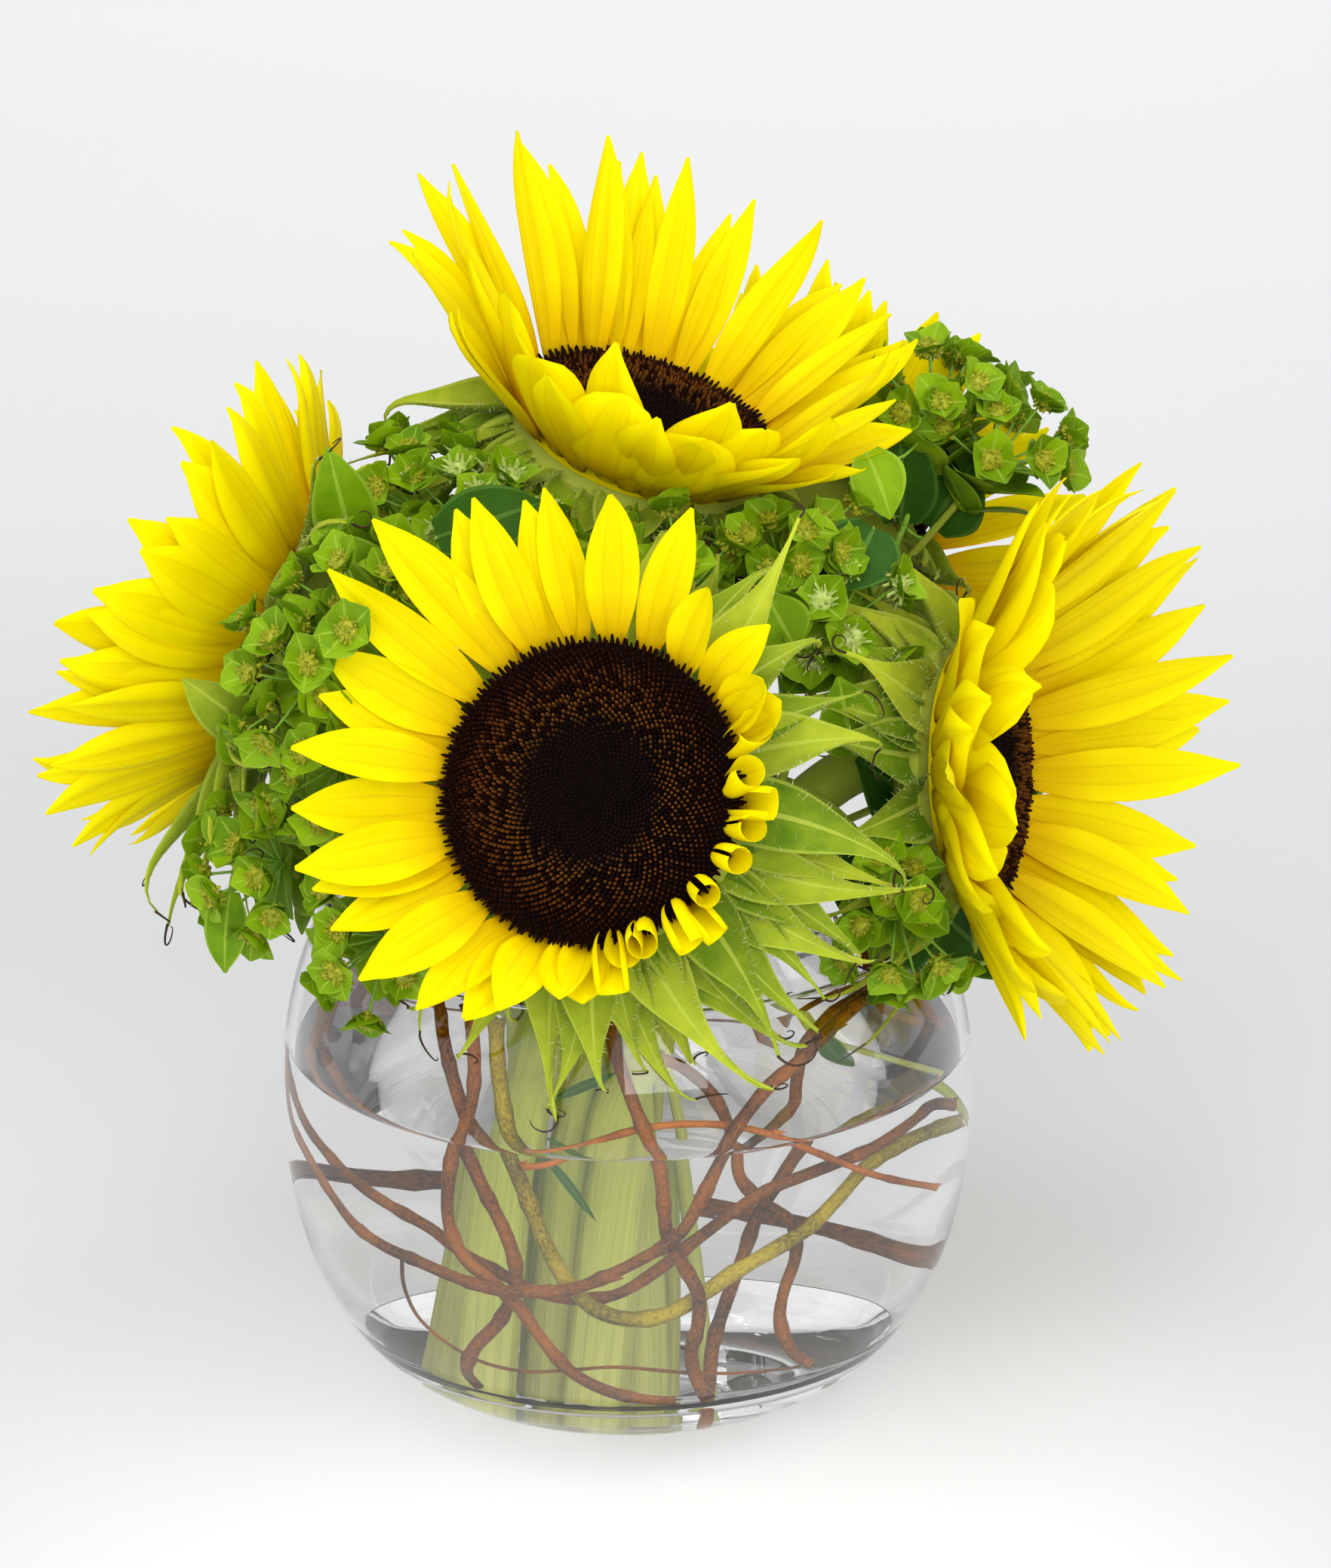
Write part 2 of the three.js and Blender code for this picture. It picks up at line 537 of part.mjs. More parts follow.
// The green back of a head with its bracts, and the stem that carries it down to the bowl's floor.
function makeCalyx(head) {
  const frame = headFrame(head);
  const blades = fitBlades(frame, bractShapes(head), [0, 12, -12, 24, -24, 36]);
  const ringAt = (radius, height) =>
    blades.map((_, i) => frame.point((2 * Math.PI * i) / blades.length, radius, height));
  const back = [
    ringAt(head.radius * BACK_WIDTH, BACK_HEIGHT - HEAD_DEPTH),
    ringAt(STEM_RADIUS, -HEAD_DEPTH),
  ];
  const top = frame.point(0, 0, PLATE_BASE - GAP);
  const cup = crown(blades, top, back, frame.point(0, 0, -HEAD_DEPTH));
  const foot = [...head.foot, FLOOR + GAP];
  const neck = NECK.map((h) => frame.point(0, 0, h - HEAD_DEPTH).toArray());
  const path = curve([foot, ...head.way, ...neck]).getSpacedPoints(STEM_STEPS);
  const radii = path.map((_, i) => STEM_RADIUS - STEM_TAPER * i);
  standInWater(path, radii, STEM_SIDES, true);
  const stem = solid(tube(path, radii, STEM_SIDES, true));
  addNode(head.name + "_calyx_and_stem", cup.add(stem), MATERIAL.calyx);
}

// The bowl's outer radius at a height: a round body that flattens to the foot, cut off at the mouth.
function bowlRadius(z) {
  if (z >= BOWL_WAIST_Z) {
    const t = (z - BOWL_WAIST_Z) / (MOUTH_Z - BOWL_WAIST_Z);
    return Math.sqrt(BOWL_RADIUS ** 2 - (BOWL_RADIUS ** 2 - MOUTH_RADIUS ** 2) * t * t);
  }
  const t = (BOWL_WAIST_Z - z) / BOWL_WAIST_Z;
  return FOOT_RADIUS + (BOWL_RADIUS - FOOT_RADIUS) * Math.sqrt(Math.max(0, 1 - t ** 2.3));
}

// The bowl's inside, as [radius, height] pairs from the middle of its floor to the rim.
const INSIDE = [
  [0, FLOOR],
  [FLOOR_RADIUS, FLOOR],
  ...BOWL_RINGS.map((z) => [bowlRadius(z) - WALL, z]),
];

const upright = (profile) =>
  solid(
    new THREE.LatheGeometry(
      profile.map(([r, z]) => new THREE.Vector2(r, z)),
      BOWL_SIDES,
    ).rotateX(Math.PI / 2),
  );

function makeBowl() {
  const outside = [0, FOOT_EDGE_Z, ...BOWL_RINGS].map((z) => [bowlRadius(z), z]);
  addNode("glass_bowl", upright([[0, 0], ...outside, ...INSIDE.toReversed()]), MATERIAL.glass);
}

// The water fills the bowl to its level, and every stem and twig stands in a hole in it.
function makeWater() {
  const below = INSIDE.filter(([, z]) => z < WATER_Z);
  const [[r0, z0], [r1, z1]] = [below.at(-1), INSIDE[below.length]];
  const edge = r0 + ((r1 - r0) * (WATER_Z - z0)) / (z1 - z0);
  const wet = [...below.slice(1), [edge, WATER_Z]].map(([r, z]) => [r - GAP, Math.max(z, FLOOR + GAP)]);
  const body = upright([[0, FLOOR + GAP], ...wet, [0, WATER_Z]]);
  addNode("water", body.subtract(join(holes)), MATERIAL.water);
}

function makeTwig(twig, i) {
  const line = curve(twig.route);
  const points = line.getSpacedPoints(Math.max(4, Math.round(line.getLength() / TWIG_STEP)));
  const radii = points.map((_, k) => twig.radius * TWIG_KNOTS[k % 2]);
  standInWater(points, radii, TWIG_SIDES);
  addNode("willow_twig_" + (i + 1), solid(tube(points, radii, TWIG_SIDES)), MATERIAL.willow);
}

// Two directions square to a third.
function squareTo(facing) {
  const side = (Math.abs(facing.z) < 0.9 ? vec([0, 0, 1]) : vec([1, 0, 0])).cross(facing).normalize();
  return [side, facing.clone().cross(side)];
}

// A ring of n points round a middle, square to a facing. rise lifts those that reach out furthest.
function ringOf(middle, facing, n, turn, reachAt, rise = 0) {
  const [side, other] = squareTo(facing);
  return Array.from({ length: n }, (_, j) => {
    const t = turn + (2 * Math.PI * j) / n;
    const reach = reachAt(j);
    const out = side.clone().multiplyScalar(Math.cos(t)).addScaledVector(other, Math.sin(t));
    return middle.clone().addScaledVector(out, reach).addScaledVector(facing, rise * reach ** 2);
  });
}

// A stalk of five sides that opens into a cup of five pointed bracts with a low dome in it.
function stalkAndCup(root, tip, turn) {
  const facing = tip.clone().sub(root).normalize();
  const R = UMBELLET_RADIUS;
  const rings = [
    ringOf(root, facing, STALK_SIDES, turn, () => STALK_RADII[0]),
    ringOf(tip, facing, STALK_SIDES, turn, () => STALK_RADII[1]),
    ringOf(tip, facing, 2 * STALK_SIDES, turn, (j) => (j % 2 ? NOTCH * R : R), TIP_RISE / R),
  ];
  const positions = [...rings.flat(), tip.clone().addScaledVector(facing, DOME * R)];
  const index = [0, 2, 1, 0, 3, 2, 0, 4, 3];
  for (let j = 0; j < STALK_SIDES; j++) {
    const k = (j + 1) % STALK_SIDES;
    const [point, notch, before] = [10 + 2 * j, 11 + 2 * j, 10 + ((2 * j + 9) % 10)];
    index.push(j, k, 5 + k, j, 5 + k, 5 + j);
    index.push(5 + j, point, before, 5 + j, notch, point, 5 + j, 5 + k, notch);
    index.push(before, point, 20, point, notch, 20);
  }
  return solid(shell(positions.flatMap((p) => p.toArray()), index));
}

// The whorl of leafy bracts under an umbel: four points round a dome that its stalks stand in.
function whorl(fork, facing, radius, turn) {
  const rim = ringOf(fork, facing, 8, turn, (j) => (j % 2 ? NOTCH * radius : radius), TIP_RISE / radius);
  const under = fork.clone().addScaledVector(facing, -0.9);
  const over = fork.clone().addScaledVector(facing, Math.max(3, DOME * radius));
  return solid(loft([[under], rim, [over]]));
}

// One umbellet on its stalk. Where it would touch another piece or one of its own umbel it is turned
// about the umbel's axis and shortened, and it is left out if no try is clear.
function umbellet(fork, facing, k, count, seed, others) {
  const [side, other] = squareTo(facing);
  const lean = SPREAD * Math.sqrt((k + 0.3) / count);
  for (let attempt = 0; attempt < TRIES; attempt++) {
    const spin = k * GOLDEN + seed + attempt * TRY_TURN;
    const way = facing.clone().multiplyScalar(Math.cos(lean));
    way.addScaledVector(side, Math.sin(lean) * Math.cos(spin));
    way.addScaledVector(other, Math.sin(lean) * Math.sin(spin));
    const reach = (RAY_REACH - REACH_SPREAD * draw(seed, k)) * (1 - TRY_SHORTER * attempt);
    const [root, tip] = [1, reach].map((length) => fork.clone().addScaledVector(way, length));
    const made = stalkAndCup(root, tip, k);
    if (isClear(made) && others.every((cup) => cup.intersect(made).volume() < CUP_OVERLAP)) return made;
  }
  return null;
}

function makeSpray(spray, index) {
  const seed = index + 1;
  const first = spray.umbels[0][0];
  const main = curve([spray.foot, ...spray.way, first]);
  const points = main.getSpacedPoints(STEM_STEPS);
  const radii = points.map((_, i) => SPRAY_RADIUS - STEM_TAPER * i);
  standInWater(points, radii, SPRAY_SIDES);
  const pieces = [solid(tube(points, radii, SPRAY_SIDES))];
  spray.umbels.forEach(([at, face, count], u) => {
    const fork = vec(at);
    const facing = vec(face).normalize();
    if (u > 0) {
      const from = main.getPointAt(BRANCH_FROM);
      const knee = fork.clone().addScaledVector(facing, -12).lerp(from, 0.35);
      const branch = curve([from.toArray(), knee.toArray(), at]).getSpacedPoints(3);
      pieces.push(solid(tube(branch, branch.map(() => BRANCH_RADIUS), SPRAY_SIDES)));
    }
    const leaves = WHORL_RADII.map((r) => whorl(fork, facing, r, seed)).find(isClear);
    if (leaves) pieces.push(leaves);
    const cups = [];
    for (let k = 0; k < count; k++) {
      const made = umbellet(fork, facing, k, count, seed + 5 * u, cups);
      if (made) cups.push(made);
    }
    pieces.push(...cups);
  });
  addNode("bupleurum_" + spray.name, join(pieces), MATERIAL.bupleurum);
}

makeBowl();
for (const head of HEADS) {
  makeRays(head);
  makeDisc(head);
  makeCalyx(head);
}
TWIGS.forEach(makeTwig);
SPRAYS.forEach(makeSpray);
makeWater();

export default part;
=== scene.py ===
# %% [markdown]
# # Sunflowers in a glass bowl
# Five cut sunflowers, sprays of bupleurum and wound twigs of curly willow stand in a clear
# bubble bowl that is a little over half full of water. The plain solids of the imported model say
# where each bloom, twig and spray is. This lesson dresses each of them: a thin skin for every
# petal and leaf, a spiral of florets for every disc, bark, glass and water. All shapes are worked
# out in millimetres and become metres when a mesh is made.

# %% The frame
import math
from functools import partialmethod

import bpy
import numpy as np
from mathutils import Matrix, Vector, kdtree


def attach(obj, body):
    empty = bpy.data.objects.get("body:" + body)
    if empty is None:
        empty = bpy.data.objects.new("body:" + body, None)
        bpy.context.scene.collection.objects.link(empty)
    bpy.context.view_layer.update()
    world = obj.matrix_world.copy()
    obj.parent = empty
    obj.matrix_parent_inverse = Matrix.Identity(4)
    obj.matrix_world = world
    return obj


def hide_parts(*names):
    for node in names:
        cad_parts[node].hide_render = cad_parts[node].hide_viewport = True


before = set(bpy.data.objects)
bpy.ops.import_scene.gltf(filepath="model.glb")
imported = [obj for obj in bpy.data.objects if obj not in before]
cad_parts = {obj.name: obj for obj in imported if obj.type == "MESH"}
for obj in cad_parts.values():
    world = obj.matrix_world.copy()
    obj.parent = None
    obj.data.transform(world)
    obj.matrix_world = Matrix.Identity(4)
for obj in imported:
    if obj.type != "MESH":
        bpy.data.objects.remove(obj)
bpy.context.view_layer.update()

# %% [markdown]
# ## Colours, nodes and materials
# Colours are written as they are seen on a screen. Cycles adds light, so each one is turned from
# the screen's curve to linear light once, here. A material or a Geometry Nodes tree is a net of
# nodes. One function puts in a node with its settings and links, and hands back the node's first
# output as a wire. A wire picks another output by its name, and sums are written with wires as with
# numbers: each sign between them puts in a Math node.

# %% A colour, a wire and a node
MM = 0.001


def linear(hex_colour):
    """The linear colour of a screen colour such as #FFD500."""
    channels = [int(hex_colour[i:i + 2], 16) / 255 for i in (1, 3, 5)]
    return tuple(c / 12.92 if c <= 0.04045 else ((c + 0.055) / 1.055) ** 2.4 for c in channels) + (1.0,)


class Wire:
    """An output of a node, for links and sums."""

    def __init__(self, tree, socket):
        self.tree, self.socket = tree, socket

    def __getitem__(self, name):
        return Wire(self.tree, self.socket.node.outputs[name])

    def maths(self, operation, *others):
        return add(self.tree, "ShaderNodeMath", dict(enumerate((self, *others))), operation=operation)

    def backwards(self, operation, other):
        return add(self.tree, "ShaderNodeMath", {0: other, 1: self}, operation=operation)

    def mix(self, first, second):
        """Two colours, mixed by this wire."""
        return add(self.tree, "ShaderNodeMix", {"Factor": self, "A": first, "B": second}, data_type="RGBA")

    __add__ = partialmethod(maths, "ADD")
    __sub__ = partialmethod(maths, "SUBTRACT")
    __rsub__ = partialmethod(backwards, "SUBTRACT")
    __mul__ = partialmethod(maths, "MULTIPLY")
    __truediv__ = partialmethod(maths, "DIVIDE")
    __rtruediv__ = partialmethod(backwards, "DIVIDE")
    __pow__ = partialmethod(maths, "POWER")
    __gt__ = partialmethod(maths, "GREATER_THAN")
    __lt__ = partialmethod(maths, "LESS_THAN")
    __abs__ = partialmethod(maths, "ABSOLUTE")


def add(tree, kind, inputs=None, stops=(), **settings):
    """Adds a node with its settings. An input takes a value, a screen colour, a wire or a list of
    wires. Stops are the places and screen colours of a colour ramp, from low to high."""
    made = tree.nodes.new(kind)
    for name, value in settings.items():
        setattr(made, name, value)
    for key, value in (inputs or {}).items():
        socket = next((s for s in made.inputs if s.enabled and s.name == key), None) or made.inputs[key]
        if isinstance(value, (Wire, list)):
            for wire in value if isinstance(value, list) else [value]:
                tree.links.new(wire.socket, socket)
        else:
            socket.default_value = linear(value) if isinstance(value, str) and value[:1] == "#" else value
    for i, (place, colour) in enumerate(stops):
        elements = made.color_ramp.elements
        element = elements[i] if i < 2 else elements.new(place)
        element.position, element.color = place, linear(colour)
    return Wire(tree, next((s for s in made.outputs if s.enabled), None))


def material_of(name, build):
    """A material whose surface is what build makes in its tree."""
    material = bpy.data.materials.new(name)
    material.use_nodes = True
    tree = material.node_tree
    tree.nodes.clear()
    add(tree, "ShaderNodeOutputMaterial", {"Surface": build(tree)})
    return material


# %% [markdown]
# ### What the finishes share
# The veins, fibres and streaks of a plant are a noise that is stretched along the blade, stem or
# twig by its UV map, whose first number runs across it and whose second runs along it. Blotches are
# a noise in the open space of the model. A petal or a leaf is so thin that light comes through it,
# so its finish mixes a Principled shader with a Translucent one.

# %% Grain and thin blades
def streaks(tree, crowding, detail):
    """A grain along a piece, as crowded across and along it as the two numbers say."""
    uv = add(tree, "ShaderNodeUVMap")
    stretched = add(tree, "ShaderNodeMapping", {"Vector": uv, "Scale": (*crowding, 1.0)})
    return add(tree, "ShaderNodeTexNoise", {"Vector": stretched, "Scale": 1.0, "Detail": detail})


def blotches(tree, per_metre, detail=2.0):
    """A grain of so many blotches a metre."""
    place = add(tree, "ShaderNodeTexCoord")["Object"]
    return add(tree, "ShaderNodeTexNoise", {"Vector": place, "Scale": per_metre, "Detail": detail})


def carried(tree, name):
    """A value that the mesh carries under a name."""
    return add(tree, "ShaderNodeAttribute", attribute_name=name)["Fac"]


def across_and_along(tree):
    """How far across a blade and how far along it a point is, from 0 to 1."""
    parts = add(tree, "ShaderNodeSeparateXYZ", {"Vector": add(tree, "ShaderNodeUVMap")})
    return parts["X"], parts["Y"]


def relief(tree, height, strength, depth):
    """Normals that show a height of depth millimetres."""
    return add(tree, "ShaderNodeBump", {"Height": height, "Strength": strength, "Distance": depth * MM})


def solid_surface(tree, colour, roughness, gloss, normal=None):
    """A finish that no light comes through."""
    inputs = {"Base Color": colour, "Roughness": roughness, "Specular IOR Level": gloss}
    return add(tree, "ShaderNodeBsdfPrincipled", {**inputs, "Normal": normal} if normal else inputs)


def thin_surface(tree, colour, normal, through, inputs):
    """A finish that lets a share of the light through."""
    body = add(tree, "ShaderNodeBsdfPrincipled", {"Base Color": colour, "Normal": normal, **inputs})
    glow = add(tree, "ShaderNodeBsdfTranslucent", {"Color": colour, "Normal": normal})
    return add(tree, "ShaderNodeMixShader", {0: through, 1: body, 2: glow})


# %% [markdown]
# ### Petals
# A ray floret of a sunflower is a thin, satin, bright yellow blade with fine lengthwise veins and
# two soft pleats. It is orange where it leaves the disc, and the near-black brown at its very root is
# painted shade under the disc. Painted shade also makes it a little deeper near its middle line and
# draws darker lines along its folds. Each petal carries a tone of its own, because no two of them
# are quite alike.

# %% Petal material
def petal_surface(tree):
    across, along = across_and_along(tree)
    # Along the petal: orange where it leaves the disc, and the near-black brown right at the root is painted
    # shade under the disc.
    body = add(tree, "ShaderNodeValToRGB", {"Fac": along},
               [(0.0, "#4A1E00"), (0.06, "#A86400"), (0.14, "#E8BE00"), (0.38, "#FDF000"), (1.0, "#FDF700")])
    veins = streaks(tree, (22.0, 1.6), 3.0)
    veined = ((veins - 0.42) * 1.5).mix(body, "#F6E400")
    # Painted shade: a deeper golden yellow near the middle line, strongest towards the root.
    inner = (1.0 - abs(across - 0.5) * 2.4).maths("MAXIMUM", 0.0) * (1.0 - along)
    deeper = (inner * 0.65).mix(veined, "#EAC800")
    toned = (carried(tree, "tone") * 0.25).mix(deeper, "#FEF200")
    pleats = abs((across * 9.42).maths("SINE"))
    # Painted shade: darker yellow lines along the creases of the folds.
    folds = (1.0 - pleats * 3.0).maths("MAXIMUM", 0.0) * (0.4 - along * 0.25)
    colour = folds.mix(toned, "#DCB000")
    fade = ((1.0 - along) * 4.0).maths("MINIMUM", 1.0)
    normal = relief(tree, pleats * 0.5 + veins, fade * 0.35, 0.3)
    return thin_surface(tree, colour, normal, 0.4, {"Roughness": 0.5, "Specular IOR Level": 0.08})


petal = material_of("sunflower_petal", petal_surface)

# %% [markdown]
# ### Discs
# The florets of the disc are dark brown tubes. Those in the middle are closed and charcoal, those
# in a ring about half way out hold up orange-brown pollen, and the outermost are bare and dark.
# Each floret carries its place in the disc (ring) and each of its corners its height (tip), so one
# material colours them all.

# %% Disc material
def disc_surface(tree):
    ring, tip, grain = (carried(tree, name) for name in ("ring", "tip", "grain"))
    body = add(tree, "ShaderNodeValToRGB", {"Fac": ring},
               [(0.0, "#0E0504"), (0.45, "#120605"), (0.6, "#1C0803"), (0.8, "#220A02"), (1.0, "#140501")])
    pollen = add(tree, "ShaderNodeValToRGB", {"Fac": ring},
                 [(0.0, "#140909"), (0.42, "#1A0C0A"), (0.56, "#6A4010"), (0.76, "#5A300C"),
                  (0.88, "#2C1006"), (1.0, "#1A0803")])
    return solid_surface(tree, (tip * (grain > 0.4)).mix(body, pollen), 0.8, 0.1)


disc_brown = material_of("disc_florets", disc_surface)

# %% [markdown]
# ### Greens
# The bracts behind a sunflower are yellow-green leaves, fuzzy, with a paler midrib and edge, and a
# deeper green towards the foot that is painted shade under the head. The stem is pale and fibrous,
# paler still under water. Bupleurum is a clean waxy green. One function makes the three leaf
# finishes from their colours, because the build of a leaf is the same: a blade, a midrib, side veins
# and a soft gloss. The third is a darker copy of the bupleurum finish, painted shade for leaves that
# stand in shadow.

# %% Leaf materials
def leaf_surface(deep, fresh, rib, gloss, fuzz, veined=0.3, tipward=0.0):
    """A leaf's finish from its darkest and freshest greens, its rib's colour and its gloss. veined
    is how strongly its side veins show, and tipward how much deeper green its foot is than its tip,
    which is painted shade at the foot."""
    def build(tree):
        across, along = across_and_along(tree)
        patches = blotches(tree, 180.0, 4.0)
        # With tipward, the foot of a bract turns towards the deep green: painted shade under the head.
        amount = patches * 0.6 + carried(tree, "tone") * 0.55 + (along - 0.45) * tipward
        from_rib = abs(across - 0.5)
        midrib, edge = from_rib < 0.035, (from_rib > 0.44) * 0.7
        side_veins = abs((along * 60.0 + from_rib * -50.0).maths("SINE")) ** 14.0
        pale = midrib.maths("MAXIMUM", edge).maths("MAXIMUM", side_veins * veined)
        colour = (pale * 0.6).mix(amount.mix(deep, fresh), rib)
        normal = relief(tree, side_veins * -veined + patches, 0.4, 0.3)
        return thin_surface(tree, colour, normal, 0.3, {"Roughness": gloss, "Specular IOR Level": 0.25,
                                                        "Sheen Weight": fuzz, "Sheen Roughness": 0.5})
    return build


bract_green = material_of("sunflower_bract",
                          leaf_surface("#55820C", "#C6D236", "#CEDA5A", 0.7, 0.05, 0.03, 0.6))
spray_green = material_of("bupleurum_leaf", leaf_surface("#3E7400", "#A2C80A", "#B4D048", 0.5, 0.0))
# A darker copy of the bupleurum finish: painted shade for leaves that stand in shadow.
shaded_leaf_green = material_of("leaf_in_painted_shade", leaf_surface("#1C460C", "#44761C", "#6C9A3C", 0.5, 0.0))

# %% Stem and plain materials
def stem_surface(tree):
    place = add(tree, "ShaderNodeTexCoord")["Object"]
    height = add(tree, "ShaderNodeSeparateXYZ", {"Vector": place})["Z"]
    dry = add(tree, "ShaderNodeMapRange", {"Value": height, "From Max": 110 * MM})
    body = add(tree, "ShaderNodeValToRGB", {"Fac": dry},
               [(0.0, "#CAC870"), (0.45, "#C2CA5C"), (0.95, "#B8C248"), (1.0, "#9CB032")])
    fibres, bands = streaks(tree, (38.0, 0.5), 6.0), streaks(tree, (6.0, 0.25), 2.0)
    banded = ((bands - 0.35) * 1.6).mix(body, "#A4AE30")
    colour = ((fibres - 0.45) * 2.4).mix(banded, "#98A038")
    return solid_surface(tree, colour, 0.55, 0.4, relief(tree, fibres, 0.6, 0.6))


def plain_surface(colour, roughness, speck, per_metre):
    """A matt finish of one colour with specks of another, so many a metre."""
    def build(tree):
        grain = blotches(tree, per_metre, 3.0)
        shade = ((grain - 0.35) * 2.0).mix(colour, speck)
        return solid_surface(tree, shade, roughness, 0.5, relief(tree, grain, 0.3, 0.2))
    return build


stem_green = material_of("sunflower_stem", stem_surface)
floret_green = material_of("bupleurum_florets", plain_surface("#7E8A10", 0.6, "#C4BC30", 900.0))
stalk_green = material_of("bupleurum_stalk", plain_surface("#74A82A", 0.5, "#A8CC58", 400.0))
dry_thread = material_of("dry_bract_tip", plain_surface("#3E2A18", 0.7, "#1C120A", 600.0))
hair_pale = material_of("leaf_hair", plain_surface("#D8E0A8", 0.6, "#C2CC90", 300.0))
grain_green = material_of("bupleurum_seeds", plain_surface("#9CB24A", 0.5, "#D2DA92", 500.0))

# %% [markdown]
# ### Willow bark
# Curly willow has thin smooth bark, red-brown to orange-brown with a soft shine, streaked along
# the twig. One of the twigs in the bowl is olive.

# %% Bark materials
def bark_surface(dark, light):
    """Smooth young bark between two colours."""
    def build(tree):
        grain = streaks(tree, (9.0, 14.0), 6.0)
        colour = ((grain + blotches(tree, 60.0) - 0.75) * 2.2).mix(dark, light)
        return solid_surface(tree, colour, 0.45, 0.12, relief(tree, grain, 0.5, 0.25))
    return build


bark_red = material_of("willow_bark", bark_surface("#2A1400", "#8E5002"))
bark_olive = material_of("olive_willow_bark", bark_surface("#544A00", "#A89410"))
bark_orange = material_of("orange_willow_bark", bark_surface("#6A3000", "#BC6C0C"))

# %% [markdown]
# ### Glass and water
# The bowl is clear soda-lime glass with an IOR of 1.5, and the water's is 1.33. A lamp's light
# would have to find its way through as caustics, which takes very many samples, so both let
# shadow rays pass straight through.

# %% Clear materials
def clear_surface(ior):
    """A clear body that lets the light of lamps straight through."""
    def build(tree):
        body = add(tree, "ShaderNodeBsdfPrincipled",
                   {"Base Color": "#FFFFFF", "Roughness": 0.0, "IOR": ior, "Transmission Weight": 1.0})
        through = add(tree, "ShaderNodeBsdfTransparent", {"Color": "#FFFFFF"})
        lamp_ray = add(tree, "ShaderNodeLightPath")["Is Shadow Ray"]
        return add(tree, "ShaderNodeMixShader", {0: lamp_ray, 1: body, 2: through})
    return build


bowl_glass = material_of("clear_glass", clear_surface(1.5))
still_water = material_of("still_water", clear_surface(1.333))

# %% [markdown]
# ## Shapes
# Three shapes make nearly everything here: a blade (petal, bract, leaf), which is a grid of points
# given a thin closed skin; a tube along a line (stem, stalk, thread); and a turned body (bowl,
# water, the middle of a head). Each gives points in millimetres, faces that turn outwards, and a UV
# for each point. A Pile gathers many of them into one mesh.

# %% Gathering shapes into a mesh
CREASE = math.radians(62)


def object_of(name, data):
    """An object in the scene that shows a mesh, a lamp or a camera."""
    made = bpy.data.objects.new(name, data)
    bpy.context.scene.collection.objects.link(made)
    return made


class Pile:
    """Points, faces, UVs and tones of one piece, gathered shape by shape, with a material for each."""

    def __init__(self):
        self.points, self.faces, self.uv, self.tone, self.slots, self.materials = [], [], [], [], [], []
        self.count = 0

    def add(self, shape, material, tone=0.5):
        points, faces, uv = shape
        if material not in self.materials:
            self.materials.append(material)
        self.points.append(points)
        self.faces += [tuple(i + self.count for i in face) for face in faces]
        self.uv.append(uv)
        self.tone.append(np.full(len(points), tone))
        self.slots += [self.materials.index(material)] * len(faces)
        self.count += len(points)

    def piece(self, name):
        mesh = bpy.data.meshes.new(name)
        mesh.from_pydata((np.concatenate(self.points) * MM).tolist(), [], self.faces)
        for material in self.materials:
            mesh.materials.append(material)
        mesh.polygons.foreach_set("material_index", self.slots)
        mesh.polygons.foreach_set("use_smooth", [True] * len(mesh.polygons))
        corner = np.zeros(len(mesh.loops), dtype=int)
        mesh.loops.foreach_get("vertex_index", corner)
        layer = mesh.uv_layers.new(name="UVMap")
        layer.data.foreach_set("uv", np.concatenate(self.uv)[corner].ravel())
        tone = mesh.attributes.new("tone", "FLOAT", "POINT")
        tone.data.foreach_set("value", np.concatenate(self.tone))
        mesh.set_sharp_from_angle(angle=CREASE)
        mesh.update()
        return object_of(name, mesh)


def finish_piece(made, slot, *nodes):
    """Rides the piece on the model's one body in place of its plain nodes."""
    if nodes:
        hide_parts(*nodes)
    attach(made, "root")
    triangles = sum(len(p.vertices) - 2 for p in made.data.polygons)
    print(f"{made.name}: {len(made.data.vertices)} points, {triangles} triangles")


# %% The three shapes
def unit(v):
    """A vector, or each row of an array, at length 1."""
    v = np.asarray(v, dtype=float)
    return v / np.linalg.norm(v, axis=-1, keepdims=True)


def running(steps):
    """The running total of some steps, from 0."""
    return np.concatenate([[0], np.cumsum(steps)])


def skin(grid, thick):
    """A thin closed skin: the grid of points above, its copy below, both ending in one shared edge."""
    rows, columns = grid.shape[:2]
    up = unit(np.cross(np.gradient(grid, axis=0), np.gradient(grid, axis=1)) + 1e-9)
    upper = np.arange(rows * columns).reshape(rows, columns)
    lower = upper.copy()
    inner = (rows - 2) * (columns - 2)
    lower[1:-1, 1:-1] = rows * columns + np.arange(inner).reshape(rows - 2, columns - 2)
    below = (grid - up * thick)[1:-1, 1:-1].reshape(-1, 3)
    v, u = np.meshgrid(np.linspace(0, 1, rows), np.linspace(0, 1, columns), indexing="ij")
    uv = np.stack([u, v], axis=-1)
    faces = []
    for i in range(rows - 1):
        for j in range(columns - 1):
            faces.append((upper[i, j], upper[i + 1, j], upper[i + 1, j + 1], upper[i, j + 1]))
            faces.append((lower[i, j], lower[i, j + 1], lower[i + 1, j + 1], lower[i + 1, j]))
    points = np.concatenate([grid.reshape(-1, 3), below])
    return points, faces, np.concatenate([uv.reshape(-1, 2), uv[1:-1, 1:-1].reshape(-1, 2)])


NARROWEST = 0.07


